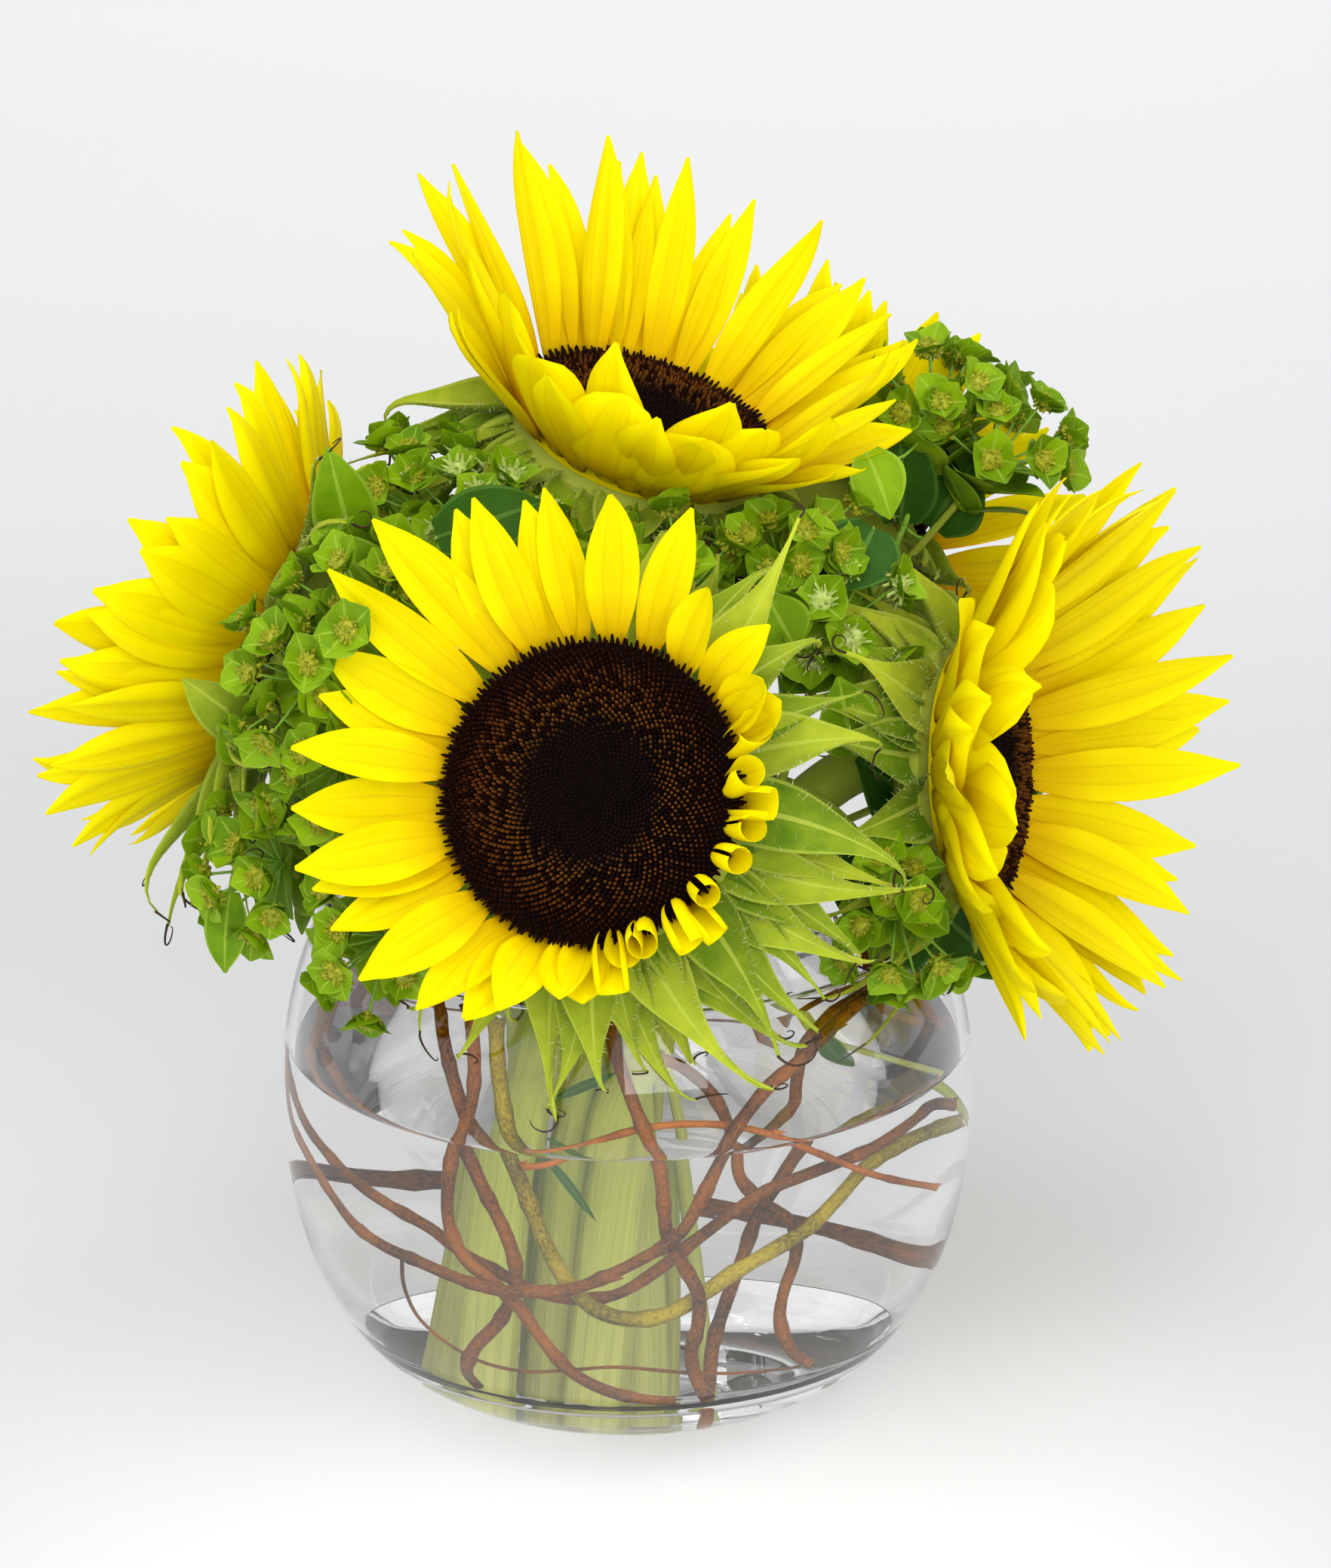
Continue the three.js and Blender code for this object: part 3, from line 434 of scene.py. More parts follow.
def blade(stand, length, half, width, rise, bend, curl, sweep, twist, roll, thick, rows, columns,
          ruffle=0.0, phase=0.0, pleat=0.0):
    """A petal or leaf on a stand, which is its base and three directions. It leaves along the first,
    rise degrees towards the third, turns by bend and, near its tip, by curl. width gives its half
    width along it as a share of half. Its section is an arc of roll radians with two lengthwise
    folds as deep as pleat, and ruffle waves its edges."""
    base, out, side, axis = stand
    s = np.linspace(0, 1, rows)
    turn = np.radians(rise + bend * s + curl * np.clip((s - 0.6) / 0.4, 0, 1) ** 2)
    step = length / (rows - 1)
    ahead = running((np.cos(turn[1:]) + np.cos(turn[:-1])) * step / 2)
    above = running((np.sin(turn[1:]) + np.sin(turn[:-1])) * step / 2)
    aside = sweep * length * s ** 2
    centre = base + np.outer(ahead, out) + np.outer(above, axis) + np.outer(aside, side)
    face = np.outer(np.cos(turn), axis) - np.outer(np.sin(turn), out)
    lean = (twist * s)[:, None]
    across = side * np.cos(lean) + face * np.sin(lean)
    face = face * np.cos(lean) - side * np.sin(lean)
    u = np.linspace(-1, 1, columns)
    angle = roll / 2 * u
    radius = (half * np.maximum(width(s), NARROWEST) / (roll / 2))[:, None]
    wave = ruffle * np.outer(np.sin(7 * s + phase) * s, u ** 2)
    folds = pleat * np.outer(np.sin(np.pi * s), np.cos(2 * np.pi * u))
    lift = radius * (1 - np.cos(angle)) + wave + folds
    grid = (centre[:, None] + across[:, None] * (radius * np.sin(angle))[..., None]
            + face[:, None] * lift[..., None])
    return skin(grid, thick)


def drawn(dice, **spans):
    """A draw for each trait between its two limits, in the order that they are written."""
    return {trait: dice.uniform(*span) for trait, span in spans.items()}


def tube(points, radii, sides):
    """A closed round tube along points, with a radius at each of them."""
    points = np.asarray(points, dtype=float)
    along = unit(np.gradient(points, axis=0))
    n = len(points)
    side = np.zeros_like(points)
    start = np.array([1.0, 0, 0]) if abs(along[0][0]) < 0.8 else np.array([0, 1.0, 0])
    for i in range(n):
        start = unit(start - along[i] * start.dot(along[i]))
        side[i] = start
    other = np.cross(along, side)
    t = np.linspace(0, 2 * np.pi, sides, endpoint=False)
    out = side[:, None] * np.cos(t)[None, :, None] + other[:, None] * np.sin(t)[None, :, None]
    rings = points[:, None] + out * np.asarray(radii, dtype=float).reshape(n, -1, 1)
    faces = []
    for i in range(n - 1):
        for j in range(sides):
            k = (j + 1) % sides
            faces.append((i * sides + j, i * sides + k, (i + 1) * sides + k, (i + 1) * sides + j))
    faces.append(tuple(range(sides - 1, -1, -1)))
    faces.append(tuple(range((n - 1) * sides, n * sides)))
    travelled = running(np.linalg.norm(np.diff(points, axis=0), axis=1))
    u, v = np.meshgrid(1 - np.abs(1 - t / np.pi), travelled / 20, indexing="xy")
    return rings.reshape(-1, 3), faces, np.stack([u, v], axis=-1).reshape(-1, 2)


def turned(profile, segments, origin=0.0, directions=np.eye(3), uv=0.0):
    """A body turned round the z axis from [radius, height] pairs that start and end on the axis. It
    is then set at an origin in three directions, with one UV all over."""
    ring = [p for p in profile if p[0] > 1e-6]
    t = np.linspace(0, 2 * np.pi, segments, endpoint=False)
    r, z = np.array(ring).T
    x, y, height = np.outer(r, np.cos(t)), np.outer(r, np.sin(t)), np.outer(z, np.ones(segments))
    rings = np.stack([x, y, height], axis=-1)
    first, last = len(ring) * segments, len(ring) * segments + 1
    ends = np.array([[0, 0, profile[0][1]], [0, 0, profile[-1][1]]])
    faces = []
    for j in range(segments):
        k = (j + 1) % segments
        faces.append((first, k, j))
        for i in range(len(ring) - 1):
            a, b = i * segments, (i + 1) * segments
            faces.append((a + j, a + k, b + k, b + j))
        faces.append((last, (len(ring) - 1) * segments + j, (len(ring) - 1) * segments + k))
    points = np.concatenate([rings.reshape(-1, 3), ends])
    return origin + points @ directions, faces, np.full((len(points), 2), uv)


def smooth_line(points, count):
    """Points at equal steps along a centripetal spline through the given ones."""
    p = np.asarray(points, dtype=float)
    p = np.concatenate([[2 * p[0] - p[1]], p, [2 * p[-1] - p[-2]]])
    knots = running(np.linalg.norm(np.diff(p, axis=0), axis=1) ** 0.5)
    dense = []
    for i in range(1, len(p) - 2):
        k = knots[i - 1:i + 3]
        t = np.linspace(k[1], k[2], 24, endpoint=False)[:, None]
        a = [(p[i - 1 + j] * (k[j + 1] - t) + p[i + j] * (t - k[j])) / (k[j + 1] - k[j]) for j in range(3)]
        b = [(a[j] * (k[j + 2] - t) + a[j + 1] * (t - k[j])) / (k[j + 2] - k[j]) for j in range(2)]
        dense.append((b[0] * (k[2] - t) + b[1] * (t - k[1])) / (k[2] - k[1]))
    dense = np.concatenate(dense + [p[-2:-1]])
    travelled = running(np.linalg.norm(np.diff(dense, axis=0), axis=1))
    wanted = np.linspace(0, travelled[-1], count)
    return np.stack([np.interp(wanted, travelled, dense[:, k]) for k in range(3)], axis=-1)


# %% [markdown]
# ## The bowl and its water
# The bowl is blown glass: a flat thick foot, a round body and a fire-polished rim. A turned body
# fits it exactly, and its profile is the solid's own formula drawn with many more points. The
# water is a turned body too. It reaches a little way into the glass, because a film of air left
# between the two would shine like a mirror.

# %% Bowl and water
BOWL_RADIUS, WAIST_Z, FOOT_RADIUS, MOUTH_RADIUS, MOUTH_Z = 100.0, 85.0, 53.0, 87.0, 139.0
WALL, FLOOR, FLOOR_RADIUS, WATER_Z, FILM = 3.0, 8.0, 64.0, 100.0, 0.15
RIM, RIM_Z = WALL / 2, MOUTH_Z - WALL / 2


def bowl_radius(z):
    """The bowl's outer radius at a height."""
    if z >= WAIST_Z:
        t = (z - WAIST_Z) / (MOUTH_Z - WAIST_Z)
        return math.sqrt(BOWL_RADIUS ** 2 - (BOWL_RADIUS ** 2 - MOUTH_RADIUS ** 2) * t * t)
    t = (WAIST_Z - z) / WAIST_Z
    return FOOT_RADIUS + (BOWL_RADIUS - FOOT_RADIUS) * math.sqrt(max(0.0, 1 - t ** 2.3))


def inner_profile(deeper):
    """The bowl's inside from the middle of its floor to the rim, so much deeper in the glass."""
    corner = [(FLOOR_RADIUS * math.sin(a) ** 0.8, FLOOR + 9 * (1 - math.cos(a)) ** 1.6 - deeper)
              for a in np.linspace(0, math.pi / 2, 14)]
    wall = [(bowl_radius(z) - WALL + deeper, z) for z in np.linspace(22, RIM_Z, 34)]
    return corner + wall


heights = MOUTH_Z * (1 - np.cos(np.linspace(0.08, math.pi / 2, 46)))
outside = [(FOOT_RADIUS - 2, 0.0)] + [(bowl_radius(z), z) for z in heights if z < RIM_Z]
rim = [(MOUTH_RADIUS - RIM + RIM * math.cos(a), RIM_Z + RIM * math.sin(a))
       for a in np.linspace(0, math.pi, 9)]
bowl_pile = Pile()
bowl_pile.add(turned([(0, 0)] + outside + rim + inner_profile(0.0)[::-1] + [(0, FLOOR)], 128), bowl_glass)
bowl = bowl_pile.piece("bubble_bowl")
finish_piece(bowl, "glass", "glass_bowl")

wet = [p for p in inner_profile(FILM) if p[1] < WATER_Z - 0.5]
inside = bowl_radius(WATER_Z) - WALL
surface = [(inside + FILM, WATER_Z + 0.7), (inside - 1.2, WATER_Z + 0.1), (inside - 4, WATER_Z)]
water_pile = Pile()
water_pile.add(turned([(0, FLOOR - FILM)] + wet[1:] + surface + [(0, WATER_Z)], 128), still_water)
water = water_pile.piece("bowl_water")
finish_piece(water, "water", "water")

# %% [markdown]
# ## Growing with Geometry Nodes
# What repeats by a rule is grown by a Geometry Nodes tree: the spiral of a disc, hairs, florets in
# a cup, and the bark and buds of a twig. Each tree is built here in code with named inputs. It is
# then run once on a host mesh, and its result becomes a plain mesh with no modifier left on it.

# %% Running a tree
GOLDEN = math.pi * (3 - math.sqrt(5))
STORE, RANDOM = "GeometryNodeStoreNamedAttribute", "FunctionNodeRandomValue"


def new_tree(name, sockets):
    """A Geometry Nodes tree with named inputs, and the node that gives them."""
    tree = bpy.data.node_groups.new(name, "GeometryNodeTree")
    tree.interface.new_socket("Geometry", in_out="OUTPUT", socket_type="NodeSocketGeometry")
    for label, kind in {"Host": "Geometry", **sockets}.items():
        tree.interface.new_socket(label, in_out="INPUT", socket_type="NodeSocket" + kind)
    return tree, add(tree, "NodeGroupInput")


def grow(made, tree, values):
    """Runs a tree on an object's mesh and leaves the result there as a plain mesh."""
    modifier = made.modifiers.new("grown", "NODES")
    modifier.node_group = tree
    for item in tree.interface.items_tree:
        if item.in_out == "INPUT" and item.name in values:
            modifier[item.identifier] = values[item.name]
    evaluated = made.evaluated_get(bpy.context.evaluated_depsgraph_get())
    mesh = bpy.data.meshes.new_from_object(evaluated)
    made.modifiers.clear()
    made.data = mesh


def placed(tree, host, points, shape, rotation, turn, scale, material):
    """Ends a tree with copies of a shape on points, each turned in its own place, made real, given a
    material and joined to the host."""
    turned_copy = add(tree, "FunctionNodeRotateRotation", {"Rotation": rotation, "Rotate By": turn},
                      rotation_space="LOCAL")
    copies = add(tree, "GeometryNodeInstanceOnPoints",
                 {"Points": points, "Instance": shape, "Rotation": turned_copy, "Scale": scale})
    real = add(tree, "GeometryNodeRealizeInstances", {"Geometry": copies})
    finished = add(tree, "GeometryNodeSetMaterial", {"Geometry": real, "Material": material})
    joined = add(tree, "GeometryNodeJoinGeometry", {"Geometry": [host, finished]})
    add(tree, "NodeGroupOutput", {"Geometry": joined})


def spin(tree, seed):
    """Any turn about a shape's own z axis."""
    angle = add(tree, RANDOM, {"Min": 0.0, "Max": 6.3, "Seed": seed})
    return add(tree, "FunctionNodeAxisAngleToRotation", {"Axis": (0, 0, 1), "Angle": angle})


# %% [markdown]
# ### The spiral of a disc
# Disc florets open in a Fibonacci spiral: floret k stands at k golden angles, at a distance that
# grows like the square root of k. That is what draws the crossing rows on a real disc. A floret is
# a small four-sided tube that bulges and closes. Those of the pollen ring are taller, and the
# outermost stand up and lean out as a ragged fringe.

# %% Disc tree
DISC_EDGE, DISC_DOME, DISC_MIDDLE, FLORET_SUNK, FLORET_TALL, FRINGE = 0.6, 4.2, 1.5, 0.6, 1.5, 0.955


def disc_tree():
    tree, given = new_tree("disc_spiral", {"Radius": "Float", "Count": "Int", "Material": "Material"})
    index = add(tree, "GeometryNodeInputIndex")
    share = ((index + 0.5) / given["Count"]) ** 0.56
    turn, radius = index * GOLDEN, share * given["Radius"]
    swell = ((1.12 - share).maths("MINIMUM", 1.0) * math.pi).maths("SINE") * (DISC_DOME * MM)
    height = (swell + (DISC_EDGE - FLORET_SUNK) * MM).maths("MAXIMUM", (DISC_MIDDLE - FLORET_SUNK) * MM)
    x, y = radius * turn.maths("COSINE"), radius * turn.maths("SINE")
    place = add(tree, "ShaderNodeCombineXYZ", {"X": x, "Y": y, "Z": height})
    points = add(tree, "GeometryNodePoints", {"Count": given["Count"], "Position": place})
    points = add(tree, STORE, {"Geometry": points, "Name": "ring", "Value": share})
    grain = add(tree, RANDOM, {"Min": 0.0, "Max": 1.0, "Seed": 3})
    points = add(tree, STORE, {"Geometry": points, "Name": "grain", "Value": grain})

    floret = add(tree, "GeometryNodeMeshCone", {"Vertices": 4, "Side Segments": 2, "Radius Top": 0.22,
                                                "Radius Bottom": 0.46, "Depth": FLORET_TALL})
    at = add(tree, "ShaderNodeSeparateXYZ", {"Vector": add(tree, "GeometryNodeInputPosition")})
    up = at["Z"] / FLORET_TALL
    floret = add(tree, STORE, {"Geometry": floret, "Name": "tip", "Value": up})
    bulge = (up * 3.0).maths("SINE") * 0.3 + 1.0
    bulged = add(tree, "ShaderNodeCombineXYZ", {"X": at["X"] * bulge, "Y": at["Y"] * bulge, "Z": at["Z"]})
    floret = add(tree, "GeometryNodeSetPosition", {"Geometry": floret, "Position": bulged})

    outermost = share > FRINGE
    splay = outermost * 30.0 + 9.0
    away = add(tree, "ShaderNodeCombineXYZ", {"X": x * splay, "Y": y * splay, "Z": 1.0})
    upright = add(tree, "FunctionNodeAlignRotationToVector", {"Vector": away}, axis="Z")
    size = given["Radius"] * (3.52 / given["Count"]) ** 0.5 * share ** 0.107
    pollen = add(tree, "ShaderNodeMapRange", {"Value": abs(share - 0.7), "From Min": 0.1, "From Max": 0.3,
                                              "To Min": 1.25, "To Max": 0.7})
    tall = (pollen + outermost * 0.7) * add(tree, RANDOM, {"Min": 0.6, "Max": 1.3, "Seed": 7})
    scale = add(tree, "ShaderNodeCombineXYZ", {"X": size, "Y": size, "Z": size * tall})
    placed(tree, given["Host"], points, floret, upright, spin(tree, 5), scale, given["Material"])
    return tree


spiral = disc_tree()


# %% [markdown]
# ### Hairs, and florets in a cup
# Sunflower bracts and stems are bristly, most of all at the edges of the bracts, which is why they
# look pale there against the light. Bupleurum carries a knot of tiny florets in each leafy cup.
# Both are small shapes strewn over the faces of one material, so one tree serves for both: hairs
# are long thin cones, florets short round ones.

# %% Strewing tree
def strewing_tree():
    """Strews cones over the host's faces of one material, more of them near its blades' edges."""
    tree, given = new_tree("strewn_cones", {
        "On": "Material", "Density": "Float", "Edge Share": "Float", "Length": "Float", "Foot": "Float",
        "Top": "Float", "Sides": "Int", "Lean": "Float", "Seed": "Int", "Material": "Material"})
    uv = add(tree, "GeometryNodeInputNamedAttribute", {"Name": "UVMap"}, data_type="FLOAT_VECTOR")
    across = add(tree, "ShaderNodeSeparateXYZ", {"Vector": uv})["X"]
    weight = (abs(across - 0.5) > 0.4).maths("MAXIMUM", 1.0 - given["Edge Share"])
    chosen = add(tree, "GeometryNodeMaterialSelection", {"Material": given["On"]})
    strewn = add(tree, "GeometryNodeDistributePointsOnFaces",
                 {"Mesh": given["Host"], "Selection": chosen, "Seed": given["Seed"],
                  "Density": given["Density"] * weight})
    cone = add(tree, "GeometryNodeMeshCone", {"Vertices": given["Sides"], "Radius Top": given["Top"],
                                              "Radius Bottom": given["Foot"], "Depth": given["Length"]})
    tilt = add(tree, RANDOM, {"Min": (-1, -1, -3), "Max": (1, 1, 3), "Seed": 11}, data_type="FLOAT_VECTOR")
    leaning = add(tree, "ShaderNodeVectorMath", {"Vector": tilt, "Scale": given["Lean"]}, operation="SCALE")
    turn = add(tree, "FunctionNodeEulerToRotation", {"Euler": leaning})
    size = add(tree, RANDOM, {"Min": 0.6, "Max": 1.2, "Seed": 13})
    placed(tree, given["Host"], strewn, cone, strewn["Rotation"], turn, size, given["Material"])
    return tree


strewing = strewing_tree()

# %% [markdown]
# ## The five sunflowers
# A head is a disc, two layers of petals and two of bracts round it, on a stem that stands on the
# bowl's floor. The plain model draws each blade's traits from a formula, and bends or narrows the
# blades that would touch something. This cell repeats the formula, and then finds out what was
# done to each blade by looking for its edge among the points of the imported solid.

# %% The heads
# Reach, cup, bract and wide are read at every 45 degrees round a head, from noon on: how long its
# petals are, how far they and the bracts rise, and how wide the petals are. Inner holds an angle,
# length, rise, bend and half width for each petal over the disc, and loose an angle, length and
# rise for each loose bract. The stem runs from its foot along its way.
HEADS = [
    dict(name="front", radius=41, centre=(-8, -95, 204), axis=(-0.22, -0.88, 0.42),
         reach=[39, 50, 38, 40, 22, 20, 17, 26], cup=[20, 20, 22, 30, 46, 50, 50, 38],
         bract=[34, 34, 30, 36, 46, 46, 50, 42], lean=-8, foot=(-33, -20),
         way=[(-25, -27, 100), (-9, -42, 155)], wide=[7.4, 8.6, 8.0, 7.6, 7.0, 7.0, 7.0, 7.8], fill=0.4,
         loose=[(322, 50, 6), (334, 42, 2), (250, 52, -14), (238, 50, -18), (226, 48, -12), (214, 52, -20),
                (203, 50, -12), (192, 52, -22), (181, 50, -12), (169, 52, -20), (158, 48, -14),
                (147, 50, -18), (135, 46, -12)]),
    dict(name="top", radius=38, centre=(5, 15, 275), axis=(0.28, -0.22, 0.93), up=(0, 1, 0),
         reach=[62, 66, 58, 50, 50, 44, 44, 54], cup=[52, 56, 50, 54, 56, 50, 50, 44],
         bract=[30, 32, 38, 34, 28, 28, 28, 28], lean=-18, foot=(-16, -5),
         way=[(-10, -9, 100), (-9, 12, 190)], wide=[6.6, 7.2, 8.4, 9.4, 10.5, 9.6, 8.0, 7.0], fill=0.6,
         inner=[(126, 46, 46, 26, 10), (146, 42, 40, 36, 12), (166, 39, 34, 44, 13), (188, 36, 32, 50, 13.5),
                (208, 40, 36, 42, 13), (228, 44, 42, 30, 11)],
         loose=[(78, 46, -30), (92, 54, -36), (108, 46, -44), (60, 42, -36), (258, 40, -44), (236, 38, -50)]),
    dict(name="right", radius=38, centre=(99, -22, 187), axis=(0.93, -0.34, 0.115),
         reach=[60, 58, 58, 58, 52, 62, 68, 66], cup=[48, 33, 34, 42, 46, 50, 54, 50],
         bract=[30, 30, 30, 30, 32, 30, 30, 30], lean=-16, foot=(-8, -20), way=[(5, -22, 100), (38, -9, 158)],
         wide=[10, 11, 11, 10.5, 9.5, 8.6, 8.6, 9], fill=0.8,
         inner=[(16, 54, 44, 6, 12), (36, 48, 40, 12, 13), (56, 40, 30, 36, 14), (76, 36, 14, 66, 14),
                (96, 34, 6, 76, 14), (117, 38, 12, 62, 13.5), (140, 48, 30, 28, 12)],
         loose=[(24, 44, -36), (50, 42, -40), (150, 44, -34), (168, 50, -26), (186, 48, -30),
                (204, 50, -22)]),
    dict(name="left", radius=37, centre=(-98, 10, 214), axis=(-0.88, 0.25, 0.28),
         reach=[48, 48, 48, 48, 50, 53, 52, 48], cup=[38, 36, 34, 36, 44, 54, 56, 36],
         bract=[28, 28, 28, 34, 48, 48, 34, 28], lean=0, foot=(-34, -3), way=[(-28, -9, 100), (-48, -4, 160)],
         wide=[8.6, 8.6, 8.4, 8.4, 8.6, 9, 9, 8.8], fill=0.9,
         loose=[(172, 54, 28), (186, 58, 34), (199, 54, 22), (212, 56, 30), (226, 50, 14), (242, 50, 4),
                (262, 46, -6), (290, 46, -10), (316, 48, -4), (338, 46, 6)]),
    dict(name="back", radius=37, centre=(58, 92, 222), axis=(0.45, 0.8, 0.4),
         reach=[50] * 8, cup=[36, 36, 34, 32, 30, 32, 34, 36],
         bract=[28] * 8, lean=-16, foot=(1, -3), way=[(0, 7, 100), (10, 40, 162)], wide=[7.4] * 8, fill=0.5),
]
STEM_RADIUS, STEM_TAPER, HEAD_DEPTH = 7.5, 0.7, 27
PLATE_TOP, PLATE_BASE = -2.2, -5.2


def swelling(s, root, widest):
    """How a half width grows from its root's share to 1 where it is widest, and how far past that
    place s is, from 0 to 1 at the tip."""
    near = root + (1 - root) * np.sin(np.clip(s / widest, 0, 1) * math.pi / 2)
    return near, np.clip((s - widest) / (1 - widest), 0, 1)


def ray_width(s):
    """The half width of a solid's petal along it, as a share of the greatest."""
    near, past = swelling(s, 0.42, 0.52)
    return near * np.maximum(0, 1 - past ** 2) ** 0.9


def bract_width(s):
    """The half width of a solid's bract: a broad foot and a long drawn-out tip."""
    return (1 - s) ** 1.6 * (1 + 2.2 * s)


RAY = dict(count=26, inset=0.3, height=PLATE_TOP - 0.8, lean=5, bend=-5, cupping=0.22, look=16 / 24, first=0,
           outer=(0, 0.6, 10), spread=dict(turn=0.3, length=0.14, width=0.2, rise=4, bend=-22, sweep=0.12),
           bends=(0, 4, -4), width=ray_width, half=lambda length: min(7.4, 3.2 + 0.065 * length))
BRACT = dict(count=16, inset=0.5, height=PLATE_BASE - 1.8, lean=0, bend=-18, cupping=0.2, look=17 / 24,
             first=300, outer=(1, 1.5, 14),
             spread=dict(turn=0.3, length=0.24, width=0.1, rise=8, bend=-24, sweep=0.16),
             bends=(0, 12, -12, 24, -24, 36), width=bract_width, half=lambda length: 6.2)
NARROWER, BLADE_STEPS = (1, 0.85, 0.7, 0.55), 24


def draw(seed, k):
    """A repeatable draw between 0 and 1."""
    return (math.sin(seed * 127.1 + k * 311.7) * 43758.5453) % 1.0


def around(values, angle):
    """A value read from eight that stand at every 45 degrees round a head."""
    turn = (angle / (2 * math.pi) + 1) % 1 * 8
    k = int(turn)
    ease = (turn - k) ** 2 * (3 - 2 * (turn - k))
    return values[k % 8] * (1 - ease) + values[(k + 1) % 8] * ease


class Head:
    """A head's frame: noon, nine and axis are its three directions."""

    def __init__(self, seed, facts):
        self.seed, self.up, self.inner, self.loose = seed, (0, 0, 1), [], []
        self.__dict__.update(facts)
        self.centre = np.array(self.centre, dtype=float)
        self.axis = unit(self.axis)
        up = np.array(self.up, dtype=float)
        self.noon = unit(up - self.axis * up.dot(self.axis))
        self.nine = np.cross(self.axis, self.noon)
        self.directions = np.array([self.noon, self.nine, self.axis])

    def out(self, angle):
        return self.noon * math.cos(angle) + self.nine * math.sin(angle)

    def point(self, angle, radius, height):
        return self.centre + self.out(angle) * radius + self.axis * height

    def stand(self, shape, deeper):
        """A blade's foot, so much deeper in the head, and its directions out, aside and up."""
        out, side = self.out(shape["angle"]), self.out(shape["angle"] + math.pi / 2)
        return self.point(shape["angle"], shape["root"] - deeper, shape["height"]), out, side, self.axis


def points_of(node):
    """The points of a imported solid, ready to be searched."""
    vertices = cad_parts[node].data.vertices
    tree = kdtree.KDTree(len(vertices))
    for i, vertex in enumerate(vertices):
        tree.insert(vertex.co, i)
    tree.balance()
    return tree


def has_point(tree, point):
    return tree.find(point * MM)[2] < 0.03 * MM


def solid_edge(head, kind, shape, narrow, bent):
    """A point on the edge of a solid blade that was narrowed and bent."""
    share, steps = kind["look"], round(BLADE_STEPS * kind["look"])
    rise = shape["rise"] + bent
    turns = np.radians(rise + shape["bend"] * np.arange(steps) / BLADE_STEPS)
    last = math.radians(rise + shape["bend"] * share)
    at, out, side, _ = head.stand(shape, 0)
    at = at + (out * np.cos(turns).sum() + head.axis * np.sin(turns).sum()) * shape["length"] / BLADE_STEPS
    half = shape["half"] * narrow * float(kind["width"](np.array(share)))
    face = head.axis * math.cos(last) - out * math.sin(last)
    return at + side * (shape["sweep"] * shape["length"] * share ** 2 + half) + face * kind["cupping"] * half


def solid_blades(head, kind, reach, lift, node):
    """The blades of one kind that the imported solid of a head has."""
    tree = points_of(node)
    found = []
    for i in range(kind["count"]):
        vary = {trait: width * (draw(head.seed, kind["first"] + 40 * n + i) - 0.5)
                for n, (trait, width) in enumerate(kind["spread"].items())}
        inset, drop, lean = (v * (i % 2) for v in kind["outer"])
        angle = 2 * math.pi * (i + vary["turn"]) / kind["count"]
        length = around(reach, angle) * (1 + vary["length"])
        shape = dict(angle=angle, length=length, root=head.radius - kind["inset"] - inset,
                     height=kind["height"] - drop, half=kind["half"](length) * (1 + vary["width"]),
                     rise=lift(angle) + kind["lean"] - lean + vary["rise"], bend=kind["bend"] + vary["bend"],
                     sweep=vary["sweep"])
        tries = [(narrow, bent) for narrow in NARROWER for bent in kind["bends"]]
        match = next((t for t in tries if has_point(tree, solid_edge(head, kind, shape, *t))), None)
        if match:
            shape["rise"] += match[1]
            shape["half"] *= match[0]
            found.append(shape)
    print(f"{node}: {len(found)} of {kind['count']} blades")
    return found


heads = [Head(number + 1, facts) for number, facts in enumerate(HEADS)]

# %% [markdown]
# ### Petals and discs
# Real petals overlap like tiles, so each is drawn a little broader than its solid, and more petals
# of in-between traits fill the gaps behind. On the blooms that face up and right, broad petals with
# round ends lean in over the disc. The shortest petals of the front bloom are still rolled into
# tubes, as they are while a bloom opens, and those a little longer are half unrolled.

# %% Making petals
ROLLED, UNROLLING = 20.6, 23.5


def pointed_width(s):
    """The half width of a drawn petal: a narrow root, broad in the middle, then drawn to a point."""
    near, past = swelling(s, 0.3, 0.48)
    return near * (1 - past ** 2.15)


def rounded_width(s):
    """The half width of a broad petal that stands over the disc: nearly round at its end."""
    near, past = swelling(s, 0.45, 0.5)
    return near * np.sqrt(np.maximum(0, 1 - past ** 2.6))


def rolled_width(s):
    """The half width of a petal that is still a tube, open at its end."""
    return swelling(s, 0.55, 0.7)[0]


def petal_of(head, shape, dice, half=None, width=pointed_width):
    """One petal from a solid blade's traits, with a curl, twist and waves of its own."""
    length = shape["length"]
    if length <= ROLLED:
        own = drawn(dice, half=(9, 12), rise=(-6, 16), curl=(-50, 50), twist=(-0.6, 0.6), roll=(4.2, 6.0),
                    ruffle=(0.3, 1.0), phase=(0, 6))
        own |= dict(length=length, width=rolled_width, sweep=0, rows=12, columns=15)
    elif length < UNROLLING:
        own = drawn(dice, half=(8, 10), rise=(-10, 10), curl=(-60, 80), twist=(-0.5, 0.5), roll=(1.2, 2.4),
                    ruffle=(0.5, 1.5), phase=(0, 6))
        own |= dict(length=length + 2, width=rounded_width, sweep=0, pleat=0.4, rows=14, columns=13)
    else:
        own = drawn(dice, half=(0.88, 1.08), curl=(-26, 44), sweep=(-0.05, 0.05), twist=(-0.45, 0.45),
                    roll=(0.3, 1.2), ruffle=(0.2, 0.9), phase=(0, 6), pleat=(0.4, 0.8))
        own["half"] *= half or around(head.wide, shape["angle"])
        own |= dict(length=length + 4, width=width, rise=0, rows=15, columns=11)
    own["rise"] += shape["rise"]
    own["sweep"] += shape["sweep"]
    return blade(head.stand(shape, 3), bend=shape["bend"], thick=0.3, **own)


